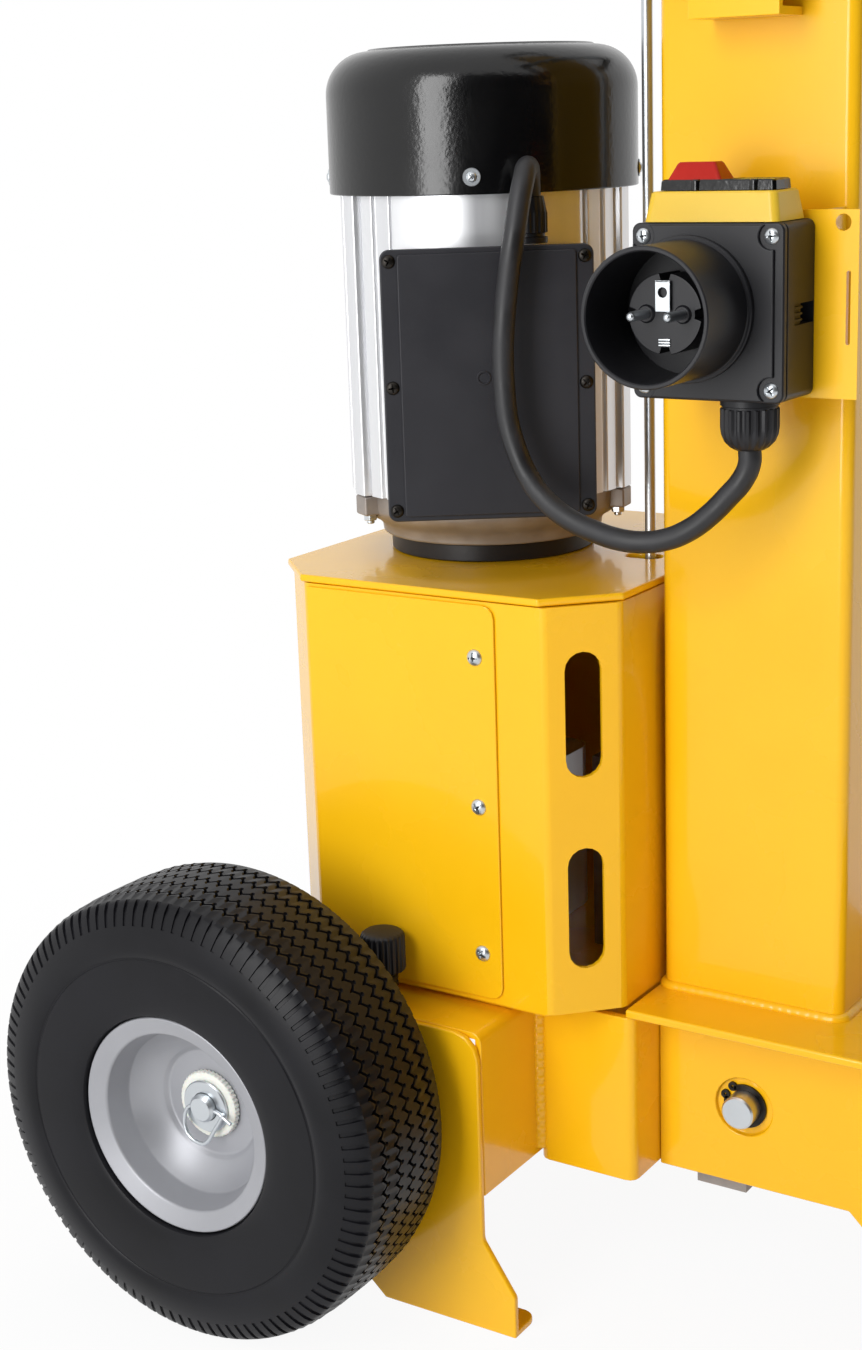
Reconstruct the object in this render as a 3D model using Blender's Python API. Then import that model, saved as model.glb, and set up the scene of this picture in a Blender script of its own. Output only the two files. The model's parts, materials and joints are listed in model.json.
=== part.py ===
"""Upright electric log splitter, modelled as an assembly of separate pieces.

Frame: +X is the front, where the log stands, +Z is up and +Y is the machine's left.
The floor is z = 0 and x = 0 is the middle of the front foot.
Sizes are in millimetres and are turned to metres where a piece is added.
"""
import math

import bmesh
import bpy
from mathutils import Matrix, Vector

MM = 0.001
GAP = 0.3  # clear space left between pieces that touch
FACETS = 24  # flats around a turned piece
SMALL_FACETS = 16  # flats around a thin rod or a small hole

# Base and log platform
BASE_TOP = 181.0
BASE_THICK = 5.0
BASE_HALF = 93.6
BASE_FRONT = 120.0
BASE_FRONT_HALF = 140.0
BASE_FLARE = 45.0
BASE_LEDGE = 2.4  # how far the platform reaches behind the column
FOOT_THICK = 6.0
FOOT_HALF = 110.0
FOOT_REACH = 112.0
CHEEK_OUTER = 60.4
CHEEK_THICK = 8.0
CHEEK_BOTTOM = 75.0
CHEEK_BEND = 62.0  # from the column's axis to where the lower edge turns down
CHEEK_TOE = 12.0  # how far the cheek ends behind the platform's front edge

# Column, ram and hydraulic cylinder
COLUMN_X = -230.0
COLUMN_SIDE = 106.0
COLUMN_WALL = 4.0
COLUMN_TOP = 960.0
COLUMN_CORNER = 6.0
GUIDE_THICK = 2.4
GUIDE_HEIGHT = 45.0
RAM_WALL = 5.0
RAM_FOOT = 15.0
HEAD_HEIGHT = 78.0
HEAD_ARM = 215.0  # reach of the head in front of the column's axis
HEAD_STEP = 25.0
HEAD_HALF = 46.0
HEAD_NOSE_LOW = 6.0
HEAD_NOSE_HIGH = 12.0
HEAD_CREST = 20.0
HEAD_HEEL = 15.0
HEAD_THROAT = 8.0
WEDGE_LENGTH = 165.0
WEDGE_HEIGHT = 262.0
WEDGE_TAPER = 70.0
WEDGE_HALF = 14.0
WEDGE_EDGE = 1.0
WEDGE_STANDOFF = 5.0
WEDGE_NOTCH = 9.0  # clear space left in front of the head's step
BARREL_RADIUS = 36.0
BARREL_BORE = 26.0
BARREL_LIFT = 10.0  # how far the barrel starts above the ram tube
ROD_RADIUS = 20.0
PISTON_TOP = 880.0
PISTON_HEIGHT = 20.0
PIN_Z = 121.9
PIN_RADIUS = 8.5
PIN_PROUD = 5.6
PIN_HEAD = 4.0
PIN_CHAMFER = 1.0
PIN_RECESS_RADIUS = 17.0
PIN_RECESS = 3.0
EYE_RADIUS = 24.0
EYE_FOOT_FRONT = 2.0  # from the column's axis back to the lug under the eye
EYE_FOOT_LENGTH = 30.0
EYE_FOOT_BOTTOM = 65.5
CIRCLIP_RADIUS = 12.0
CIRCLIP_THICK = 1.5
CIRCLIP_OPEN = 70.0  # degrees left open
CIRCLIP_STEPS = 20

# Chassis box, axle beam, wheel plates and wheels
BLOCK_GAP = 1.3  # from the column's rear face to the chassis box
BLOCK_LENGTH = 61.0
BLOCK_HALF = 91.0
BLOCK_BOTTOM = 76.6
BLOCK_TOP = 174.7
BLOCK_WALL = 5.0
BEAM_LENGTH = 172.0
BEAM_TOP = 176.3
BEAM_BOTTOM = 80.0
BEAM_WALL = 4.0
PLATE_GAP = 33.3  # from the pump house's side to the wheel plate's outer face
PLATE_THICK = 4.0
PLATE_CORNER = 15.0
PLATE_FLARE = 20.0
PLATE_FLARE_TOP = 55.0
PLATE_FLARE_FOOT = 25.0
PLATE_SOLE = 87.0
PLATE_FLANGE = 24.0
PLATE_REAR_Z = 95.0
AXLE_Z = 130.5
AXLE_RADIUS = 8.0
AXLE_BACK = 250.7  # from the column's axis to the wheels' axle
AXLE_PROUD = 15.5  # how far the axle ends outside the middle of the tyre
AXLE_CHAMFER = 1.0
WHEEL_OFFSET = 53.2  # from the wheel plate to the middle of the tyre
TYRE_RADIUS = 129.5
TYRE_HALF = 42.5
TYRE_BULGE = 1.0  # how far the flank swells past its edges
TYRE_FACETS = 32
TYRE_BEAD = 9.0  # width of the bead beside the rim
TYRE_FLANK = 40.0  # from the tread down to the widest part of the flank
TYRE_SHOULDER = 22.0
TYRE_SHOULDER_EDGE = 8.0
TYRE_CROWN = 2.0
TYRE_TREAD_HALF = 31.5
TYRE_CROWN_HALF = 18.5
RIM_RADIUS = 62.0
RIM_HALF = 37.9
RIM_LIP = 4.4
RIM_SEAT = 54.0
RIM_SHEET = 2.5
RIM_FACETS = 28
FLANGE_IN = 52.0  # radius where the sloping flange turns into the dish
FLANGE_DROP = 2.5
WEB_RADIUS = 30.0  # the flat disc in the middle of the dish
WEB_OUT = 4.2  # from the middle of the tyre to the flat disc
WEB_STEP = 2.5  # the small step round the disc
BOWL_RADIUS = 47.0  # radius where the bowl turns into the steep wall
BOWL_SAG = 8.0  # height of the bowl above the disc, half-way out and at its edge
BOWL_RISE = 14.5
DISH_WALL = 1.5  # how far the dish's back lies outside its front
HUB_RADIUS = 17.0
HUB_IN = 38.0  # from the middle of the tyre to the hub's inner end
BUSH_RADIUS = 12.0
BUSH_FLANGE = 19.5
BUSH_FLANGE_THICK = 4.5
BUSH_FACETS = 20
CAP_X = -413.0
CAP_CLEARANCE = 2.7  # from the door to the filler cap
CAP_NECK = 8.0
CAP_NECK_HEIGHT = 19.0
CAP_RADIUS = 12.5
CAP_HEIGHT = 24.0
CAP_CHAMFER = 2.0

# Pump house
HOUSE_FRONT_GAP = 3.3  # from the column's rear face
HOUSE_LENGTH = 210.7
HOUSE_HALF = 121.0
HOUSE_BOTTOM = 181.5
HOUSE_HEIGHT = 226.2
HOUSE_WALL = 3.0
HOUSE_CHAMFER = 29.7
HOUSE_SOLE_INSET = 8.0
LID_THICK = 4.2
LID_REAR = 6.0
SLOT_WIDTH = 20.0
SLOT_LENGTH = 68.5
SLOT_LOW = 59.6
SLOT_HIGH = 167.4
DOOR_WIDTH = 120.1
DOOR_EDGE = 3.2
DOOR_THICK = 1.5
DOOR_CORNER = 7.0
DOOR_FRAME = 11.0
DOOR_INSET = 2.0  # from the housing's chamfer to the door
DOOR_HINGE_CORNER = 1.0
ROD_HOLE_LENGTH = 22.0
ROD_HOLE_WIDTH = 13.0
ROD_HOLE_BACK = 4.0  # how far the hole's middle lies behind the rod
PUMP_HALF = 42.0
PUMP_CORNER = 14.0
PUMP_SHAFT_DEPTH = 30.0
PUMP_HEIGHT = 100.0
COUPLING_RADIUS = 22.0
COUPLING_HEIGHT = 40.0
VALVE_LENGTH = 50.0
VALVE_CLEARANCE = 2.0  # from the housing's front wall
VALVE_HALF = 25.0
VALVE_HEIGHT = 114.0

# Motor
MOTOR_X = -419.0
MOTOR_TURN = 33.4  # degrees the terminal box is turned towards the front
RING_RADIUS = 58.7
RING_BORE = 40.0
RING_HEIGHT = 6.8
SHIELD_HEIGHT = 18.0
SHIELD_RADIUS = 75.5
SHIELD_FOOT = 4.0  # how far the shield's foot reaches past the flange ring
SHIELD_FOOT_FLARE = 2.0
SHIELD_FOOT_HEIGHT = 6.0
SHIELD_WAIST = 5.0
SHIELD_WAIST_HEIGHT = 9.0
SHIELD_EAR_BORE = 60.0
SHIELD_RIM_INSET = 1.0
SHIELD_EAR_INSET = 2.0
STATOR_HEIGHT = 178.0
STATOR_RADIUS = 80.8
STATOR_ROOT = 75.5
STATOR_BORE = 48.6
STATOR_FINS = 36
FIN_SHARE = 0.2  # half of a fin's width, as a share of the fins' pitch
FIN_SLOPE = 1.0  # degrees that a fin's side leans
LUG_TURN = 4.4  # half the angle of a tie-bolt rib, in degrees
EAR_HEIGHT = 8.0
TOP_SHIELD = 8.0
ROTOR_RADIUS = 48.0
ROTOR_INSET = 18.0
SHAFT_RADIUS = 12.0
COWL_RADIUS = 86.4
COWL_WALL = 1.8
COWL_HEIGHT = 82.0
COWL_LAP = 2.0
COWL_SHOULDER = 15.0
COWL_GRILLE_BARS = 16
COWL_GRILLE_IN = 28.0
COWL_GRILLE_OUT = 62.0
COWL_SLIT = 5.0
COWL_FACETS = 32
FAN_BLADES = 9
FAN_RADIUS = 70.0
FAN_HUB = 20.0
FAN_TIP_HALF = 1.2
FAN_ROOT_HALF = 1.5
FAN_HEIGHT = 26.0
FAN_LIFT = 14.0

# Terminal box and motor cable
TERMINAL_CORNER = 5.0
LID_FACE = 104.0  # from the motor's axis to the lid's outer face
TERMINAL_LID_THICK = 6.0
TERMINAL_WIDTH = 111.4
TERMINAL_HEIGHT = 143.0
TERMINAL_BOTTOM = 445.0
TERMINAL_INSET = 3.0
GLAND_RADIUS = 9.0
GLAND_HEIGHT = 24.0
GLAND_TAPER = 8.0
GLAND_LIP = 1.5
CABLE_RADIUS = 5.75
CABLE_ROUTE = [
    (-351.1, -65.5, 612.6), (-351.1, -65.5, 619.0), (-349.0, -69.4, 626.0),
    (-346.5, -76.0, 627.0), (-344.8, -82.0, 621.5), (-344.6, -87.0, 611.0),
    (-345.5, -90.5, 596.8), (-347.3, -93.0, 581.0), (-348.5, -94.9, 566.9),
    (-349.4, -96.8, 551.5), (-349.8, -98.1, 536.6), (-349.2, -98.8, 518.0),
    (-347.4, -98.9, 500.6), (-342.5, -98.5, 484.0), (-335.3, -98.1, 469.8),
    (-324.0, -99.2, 458.5), (-310.3, -101.0, 451.0), (-295.5, -102.3, 446.3),
    (-280.3, -103.0, 443.3), (-267.5, -102.8, 443.0), (-255.3, -102.0, 445.1),
    (-243.0, -101.2, 450.5), (-231.5, -100.0, 459.2), (-222.5, -98.8, 468.5),
    (-215.2, -97.6, 477.3), (-211.7, -97.0, 485.6), (-211.7, -97.0, 492.2),
]

# Switch and mains inlet
SWITCH_X = -226.5
SWITCH_WIDTH = 79.0
SWITCH_BOTTOM = 517.5
SWITCH_HEIGHT = 84.0
SWITCH_DEPTH = 38.0
SWITCH_CORNER = 3.0
NOTCH_DEPTH = 6.0  # the notch at the back of the switch box's front side
NOTCH_LENGTH = 16.0
NOTCH_LOW = 35.5
NOTCH_HEIGHT = 10.0
SWITCH_STANDOFF = 25.0  # from the column's face to the back of the switch box
BRACKET_THICK = 3.0
BRACKET_REAR = 35.5
BRACKET_FRONT = 61.5
BRACKET_LEG = 45.0
BRACKET_HOLE = 4.0
BRACKET_HOLE_DROP = 2.0
BRACKET_BELOW = 1.5
BRACKET_ABOVE = 4.0
INLET_X = -236.0
INLET_Z = 561.0
COLLAR_RADIUS = 33.0
COLLAR_WALL = 2.5
COLLAR_LENGTH = 45.0
INSERT_RADIUS = 19.0
INSERT_LENGTH = 23.0
CONTACT_RADIUS = 2.4
CONTACT_LENGTH = 18.0
CONTACT_ROOT = 5.0
CONTACT_SPREAD = 9.5
NUT_RADIUS = 14.5
NUT_LIP = 2.0
NUT_DOME = 6.0
NUT_FACETS = 12
BEZEL_HEIGHT = 14.0
BEZEL_TAPER = 4.0
BEZEL_MARGIN = 4.0
FRAME_HEIGHT = 5.0
FRAME_MARGIN = 6.0
BUTTON_WALL = 2.2
BUTTON_SPLIT = 0.57  # share of the frame that the stop button takes
BUTTON_FLOOR = 3.6
STOP_HEIGHT = 9.4
START_HEIGHT = 1.2
STOP_TAPER = 3.0
START_TAPER = 0.4

# Two-hand control
LEVER_Z = 725.0
LEVER_INNER = 62.0
LEVER_THICK = 6.0
LEVER_HEIGHT = 16.0
LEVER_FRONT = 320.0  # reach of the lever in front of its pivot
LEVER_RISE = 45.0
LEVER_GRIP = 110.0
LEVER_PIVOT_RADIUS = 6.0
LEVER_PIVOT_PROUD = 3.0
LEVER_TAIL = 10.0  # how far the lever reaches behind the control rod
GUARD_X = -228.95
GUARD_LENGTH = 47.3
GUARD_HEIGHT = 60.0
GUARD_STANDOFF = 27.6
GUARD_THICK = 4.0
GUARD_LOW = 30.0  # from the pivot to the bracket's lower edge
GRIP_RADIUS = 15.0
GRIP_START = 3.0
GRIP_END = 1.0
CONTROL_BACK = 86.0  # from the column's axis to the control rod
CONTROL_RADIUS = 3.0
CONTROL_FOOT = 270.0
YOKE_RADIUS = 6.0
YOKE_HALF = 76.0
YOKE_PLAY = 0.8
HANDLE_Z = 880.0
HANDLE_HALF = 38.0
HANDLE_REACH = 62.0
HANDLE_RADIUS = 8.0
HANDLE_BEND = 22.0

# Values worked out from the sizes above
COLUMN_HALF = COLUMN_SIDE / 2
COLUMN_REAR = COLUMN_X - COLUMN_HALF
COLUMN_BORE = COLUMN_HALF - COLUMN_WALL
RAM_HALF = COLUMN_BORE - GUIDE_THICK - 2 * GAP
BLOCK_FRONT = COLUMN_REAR + BLOCK_GAP
BLOCK_REAR = BLOCK_FRONT - BLOCK_LENGTH
BEAM_FRONT = BLOCK_REAR - GAP
BEAM_REAR = BEAM_FRONT - BEAM_LENGTH
AXLE_X = COLUMN_X - AXLE_BACK
PLATE_OUTER = HOUSE_HALF + PLATE_GAP
WHEEL_MID = PLATE_OUTER + WHEEL_OFFSET
AXLE_END = WHEEL_MID + AXLE_PROUD
CAP_Y = -(HOUSE_HALF + GAP + DOOR_THICK + CAP_CLEARANCE + CAP_RADIUS)
HOUSE_FRONT = COLUMN_REAR - HOUSE_FRONT_GAP
HOUSE_REAR = HOUSE_FRONT - HOUSE_LENGTH
HOUSE_TOP = HOUSE_BOTTOM + HOUSE_HEIGHT
HOUSE_FLOOR = HOUSE_BOTTOM + HOUSE_WALL
LID_BOTTOM = HOUSE_TOP + GAP
RING_BOTTOM = LID_BOTTOM + LID_THICK + GAP
SHIELD_BOTTOM = RING_BOTTOM + RING_HEIGHT + GAP
STATOR_BOTTOM = SHIELD_BOTTOM + SHIELD_HEIGHT + GAP
STATOR_TOP = STATOR_BOTTOM + STATOR_HEIGHT
COWL_BOTTOM = STATOR_TOP - COWL_LAP
LUG_RADIUS = (COWL_RADIUS - COWL_WALL) * math.cos(math.pi / COWL_FACETS) - GAP
COWL_TOP = COWL_BOTTOM + COWL_HEIGHT
FAN_BOTTOM = STATOR_TOP + TOP_SHIELD + FAN_LIFT
PUMP_TOP = HOUSE_FLOOR + GAP + PUMP_HEIGHT
COUPLING_BOTTOM = PUMP_TOP + GAP
SWITCH_BACK = -COLUMN_HALF - SWITCH_STANDOFF
SWITCH_FRONT = SWITCH_BACK - SWITCH_DEPTH
SWITCH_TOP = SWITCH_BOTTOM + SWITCH_HEIGHT
BEZEL_BOTTOM = SWITCH_TOP + GAP
FRAME_BOTTOM = BEZEL_BOTTOM + BEZEL_HEIGHT + GAP
CONTROL_X = COLUMN_X - CONTROL_BACK
GRIP_Z = LEVER_Z + LEVER_RISE

# Finishes: colour, roughness and metallic value
FINISHES = {
    "yellow_paint": ((0.95, 0.53, 0.016), 0.32, 0.0),
    "black_paint": ((0.012, 0.012, 0.013), 0.25, 0.0),
    "black_plastic": ((0.018, 0.018, 0.02), 0.5, 0.0),
    "black_rubber": ((0.02, 0.02, 0.021), 0.75, 0.0),
    "yellow_plastic": ((0.9, 0.6, 0.02), 0.4, 0.0),
    "red_plastic": ((0.75, 0.02, 0.015), 0.3, 0.0),
    "green_plastic": ((0.02, 0.25, 0.06), 0.35, 0.0),
    "cream_nylon": ((0.8, 0.74, 0.58), 0.45, 0.0),
    "silver_paint": ((0.5, 0.5, 0.5), 0.35, 0.3),
    "bright_aluminium": ((0.72, 0.72, 0.72), 0.35, 1.0),
    "cast_grey": ((0.35, 0.34, 0.33), 0.6, 0.6),
    "bare_steel": ((0.45, 0.45, 0.46), 0.3, 1.0),
    "dark_steel": ((0.08, 0.08, 0.085), 0.4, 0.9),
}

# A point of an outline, and a height above it, for each direction of extrusion
PLACES = {
    "X": lambda a, b, height: (height, a, b),
    "Y": lambda a, b, height: (a, height, b),
    "Z": lambda a, b, height: (a, b, height),
}


def circle(x, y, radius, facets=FACETS):
    """An outline round a point."""
    angles = [2 * math.pi * k / facets for k in range(facets)]
    return [(x + radius * math.cos(a), y + radius * math.sin(a)) for a in angles]


def rectangle(x0, x1, y0, y1):
    return [(x0, y0), (x1, y0), (x1, y1), (x0, y1)]


def octagon(x0, x1, y0, y1, leg):
    """A rectangle with its corners cut off at 45 degrees."""
    return [(x0 + leg, y0), (x1 - leg, y0), (x1, y0 + leg), (x1, y1 - leg),
            (x1 - leg, y1), (x0 + leg, y1), (x0, y1 - leg), (x0, y0 + leg)]


def rounded(corners, steps=3):
    """An outline from corners (x, y, radius), each turned as an arc."""
    outline = []
    for index, (x, y, radius) in enumerate(corners):
        if radius == 0:
            outline.append((x, y))
            continue
        here = Vector((x, y))
        back = (Vector(corners[index - 1][:2]) - here).normalized()
        ahead = (Vector(corners[(index + 1) % len(corners)][:2]) - here).normalized()
        half = back.angle(ahead) / 2
        centre = here + (back + ahead).normalized() * radius / math.sin(half)
        start = here + back * radius / math.tan(half) - centre
        end = here + ahead * radius / math.tan(half) - centre
        first = math.atan2(start.y, start.x)
        sweep = math.remainder(math.atan2(end.y, end.x) - first, 2 * math.pi)
        for step in range(steps + 1):
            angle = first + sweep * step / steps
            outline.append((centre.x + radius * math.cos(angle), centre.y + radius * math.sin(angle)))
    return outline


def rounded_square(x, y, half, radius):
    return rounded([(x - half, y - half, radius), (x + half, y - half, radius),
                    (x + half, y + half, radius), (x - half, y + half, radius)])


def oblong(x, y, length, width, steps=8):
    """A slot outline, long in y, with round ends."""
    radius = width / 2
    reach = length / 2 - radius
    ends = []
    for side in (1, -1):
        for step in range(steps + 1):
            angle = math.pi * step / steps + (0 if side == 1 else math.pi)
            ends.append((x + radius * math.cos(angle), y + side * reach + radius * math.sin(angle)))
    return ends


def prism(outline, low, high, axis="Z", holes=()):
    """A flat outline, with holes, extruded along an axis."""
    mesh = bmesh.new()
    edges = []
    for loop in (outline, *holes):
        corners = [mesh.verts.new(PLACES[axis](a, b, low)) for a, b in loop]
        edges += [mesh.edges.new((corners[k - 1], corners[k])) for k in range(len(corners))]
    bmesh.ops.triangle_fill(mesh, use_beauty=True, edges=edges)
    grown = bmesh.ops.extrude_face_region(mesh, geom=mesh.faces[:])
    raised = [item for item in grown["geom"] if isinstance(item, bmesh.types.BMVert)]
    bmesh.ops.translate(mesh, verts=raised, vec=Vector(PLACES[axis](0, 0, high - low)))
    bmesh.ops.recalc_face_normals(mesh, faces=mesh.faces[:])
    return mesh


def block(x0, x1, y0, y1, z0, z1):
    return prism(rectangle(x0, x1, y0, y1), z0, z1)


def frustum(x0, x1, y0, y1, z0, z1, taper):
    """A block whose top is smaller than its foot by taper on each side."""
    mesh = block(x0, x1, y0, y1, z0, z1)
    middle = Vector(((x0 + x1) / 2, (y0 + y1) / 2))
    for corner in mesh.verts:
        if corner.co.z > (z0 + z1) / 2:
            corner.co.x -= math.copysign(taper, corner.co.x - middle.x)
            corner.co.y -= math.copysign(taper, corner.co.y - middle.y)
    return mesh


def turned(profile, a=0.0, b=0.0, axis="Z", facets=FACETS, ring=False):
    """A profile of (radius, height) points turned about an axis through (a, b)."""
    mesh = bmesh.new()
    rings = []
    for radius, height in profile:
        spots = circle(a, b, radius, facets) if radius else [(a, b)]
        rings.append([mesh.verts.new(PLACES[axis](p, q, height)) for p, q in spots])
    following = rings[1:] + (rings[:1] if ring else [])
    for low, high in zip(rings, following):
        for k in range(facets):
            near = (low[k % len(low)], low[(k + 1) % len(low)])
            far = (high[(k + 1) % len(high)], high[k % len(high)])
            mesh.faces.new(dict.fromkeys(near + far))
    bmesh.ops.recalc_face_normals(mesh, faces=mesh.faces[:])
    return mesh


def washer(inner, outer, low, high, a=0.0, b=0.0, axis="Z", facets=FACETS):
    profile = [(inner, low), (outer, low), (outer, high), (inner, high)]
    return turned(profile, a, b, axis, facets, ring=True)


def to_object(name, shape, origin=(0, 0, 0), turn=0.0):
    """A shape in millimetres as a named object in metres, turned about its origin's upright."""
    place = Matrix.Translation(Vector(origin) * MM)
    if turn:
        about = Matrix.Translation((MOTOR_X, 0, 0))
        shape.transform(about @ Matrix.Rotation(math.radians(turn), 4, "Z") @ about.inverted())
    shape.transform(place.inverted() @ Matrix.Scale(MM, 4))
    mesh = bpy.data.meshes.new(name)
    shape.to_mesh(mesh)
    shape.free()
    piece = bpy.data.objects.new(name, mesh)
    piece.location = place.translation
    bpy.context.collection.objects.link(piece)
    return piece


def paint(piece, finish):
    """The piece's own Principled material."""
    colour, roughness, metallic = FINISHES[finish]
    material = bpy.data.materials.new(f"{piece.name}_{finish}")
    material.use_nodes = True
    shader = material.node_tree.nodes["Principled BSDF"]
    shader.inputs["Base Color"].default_value = (*colour, 1)
    shader.inputs["Roughness"].default_value = roughness
    shader.inputs["Metallic"].default_value = metallic
    piece.data.materials.append(material)


def add(name, shape, finish, origin=(0, 0, 0), turn=0.0):
    piece = to_object(name, shape, origin, turn)
    paint(piece, finish)
    return piece


def combine(piece, shape, operation, turn=0.0):
    """Cut a shape out of a piece, or weld it on, with a Boolean."""
    helper = to_object(f"{piece.name}_{operation.lower()}_{len(piece.modifiers)}", shape, turn=turn)
    helper.hide_render = True
    helper.display_type = "WIRE"
    boolean = piece.modifiers.new(operation.title(), "BOOLEAN")
    boolean.operation = operation
    boolean.object = helper
    boolean.solver = "EXACT"


def cut(piece, shape, turn=0.0):
    combine(piece, shape, "DIFFERENCE", turn)


def weld(piece, shape, turn=0.0):
    combine(piece, shape, "UNION", turn)


def base():
    """The log platform on its two cheeks, with a front foot on the floor."""
    rear = COLUMN_REAR - BASE_LEDGE
    waist = COLUMN_X + COLUMN_HALF + BASE_FLARE
    flare = waist + BASE_FRONT_HALF - BASE_HALF
    half = [(rear, BASE_HALF), (waist, BASE_HALF), (flare, BASE_FRONT_HALF), (BASE_FRONT, BASE_FRONT_HALF)]
    outline = [(x, -y) for x, y in half] + half[::-1]
    hole = circle(COLUMN_X, 0, ROD_RADIUS + BEAM_WALL)
    underside = BASE_TOP - BASE_THICK
    add("base_plate", prism(outline, underside, BASE_TOP, holes=[hole]), "yellow_paint")

    bend = COLUMN_X + CHEEK_BEND
    sole = FOOT_THICK + GAP
    toe = BASE_FRONT - CHEEK_TOE
    cheek = [(BLOCK_FRONT + GAP, CHEEK_BOTTOM), (bend, CHEEK_BOTTOM), (bend + CHEEK_BOTTOM - sole, sole),
             (toe, sole), (toe, underside - GAP), (BLOCK_FRONT + GAP, underside - GAP)]
    bore = circle(COLUMN_X, PIN_Z, PIN_RADIUS + GAP)
    for side, sign in (("right", -1), ("left", 1)):
        faces = sorted((sign * CHEEK_OUTER, sign * (CHEEK_OUTER - CHEEK_THICK)))
        plate = add(f"base_cheek_{side}", prism(cheek, *faces, "Y", [bore]), "yellow_paint")
        recess = sorted((sign * (CHEEK_OUTER - PIN_RECESS), sign * (CHEEK_OUTER + PIN_RECESS)))
        cut(plate, prism(circle(COLUMN_X, PIN_Z, PIN_RECESS_RADIUS), *recess, "Y"))
    foot = block(-FOOT_REACH, FOOT_REACH, -FOOT_HALF, FOOT_HALF, 0, FOOT_THICK)
    add("front_foot", foot, "yellow_paint")


def chassis():
    """The box behind the column, the axle beam and the plates that carry the wheels."""
    rear, front = BLOCK_REAR, BLOCK_FRONT
    corner = COLUMN_CORNER
    outer = rounded([(rear, -BLOCK_HALF, corner), (front, -BLOCK_HALF, corner),
                     (front, BLOCK_HALF, corner), (rear, BLOCK_HALF, corner)])
    inside = BLOCK_HALF - BLOCK_WALL
    hollow = rectangle(rear + BLOCK_WALL, front - BLOCK_WALL, -inside, inside)
    add("chassis_box", prism(outer, BLOCK_BOTTOM, BLOCK_TOP, holes=[hollow]), "yellow_paint")

    end = PLATE_OUTER - PLATE_THICK - GAP
    channel = rounded([
        (BEAM_FRONT, BEAM_BOTTOM, 0), (BEAM_FRONT, BEAM_TOP, corner),
        (BEAM_REAR, BEAM_TOP, corner), (BEAM_REAR, BEAM_BOTTOM, 0),
        (BEAM_REAR + BEAM_WALL, BEAM_BOTTOM, 0), (BEAM_REAR + BEAM_WALL, BEAM_TOP - BEAM_WALL, 0),
        (BEAM_FRONT - BEAM_WALL, BEAM_TOP - BEAM_WALL, 0), (BEAM_FRONT - BEAM_WALL, BEAM_BOTTOM, 0)])
    add("axle_beam", prism(channel, -end, end, "Y"), "yellow_paint")

    toe = BEAM_FRONT + PLATE_FLARE
    plate = rounded([
        (BEAM_FRONT, BEAM_TOP, PLATE_CORNER), (BEAM_FRONT, PLATE_FLARE_TOP, PLATE_CORNER / 2),
        (toe, PLATE_FLARE_FOOT, PLATE_CORNER / 3), (toe, 0, 0), (toe - PLATE_SOLE, 0, 0),
        (BEAM_REAR, PLATE_REAR_Z, PLATE_CORNER), (BEAM_REAR, BEAM_TOP, PLATE_CORNER)])
    axle_hole = circle(AXLE_X, AXLE_Z, AXLE_RADIUS + GAP)
    for side, sign in (("right", -1), ("left", 1)):
        faces = sorted((sign * PLATE_OUTER, sign * (PLATE_OUTER - PLATE_THICK)))
        piece = add(f"wheel_plate_{side}", prism(plate, *faces, "Y", [axle_hole]), "yellow_paint")
        flange = sorted((sign * (PLATE_OUTER - PLATE_THICK / 2), sign * (PLATE_OUTER - PLATE_FLANGE)))
        weld(piece, block(toe - PLATE_SOLE, toe, *flange, 0, PLATE_THICK))

    bar = [(0, -AXLE_END), (AXLE_RADIUS - AXLE_CHAMFER, -AXLE_END), (AXLE_RADIUS, AXLE_CHAMFER - AXLE_END)]
    axle = bar + [(radius, -height) for radius, height in bar[::-1]]
    add("axle", turned(axle, AXLE_X, AXLE_Z, "Y"), "bare_steel")

    knob = CAP_NECK_HEIGHT + CAP_HEIGHT
    cap = [(0, 0), (CAP_NECK, 0), (CAP_NECK, CAP_NECK_HEIGHT), (CAP_RADIUS, CAP_NECK_HEIGHT),
           (CAP_RADIUS, knob - CAP_CHAMFER), (CAP_RADIUS - CAP_CHAMFER, knob), (0, knob)]
    cap = [(radius, BEAM_TOP + GAP + height) for radius, height in cap]
    add("oil_filler_cap", turned(cap, CAP_X, CAP_Y), "black_plastic")


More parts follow.
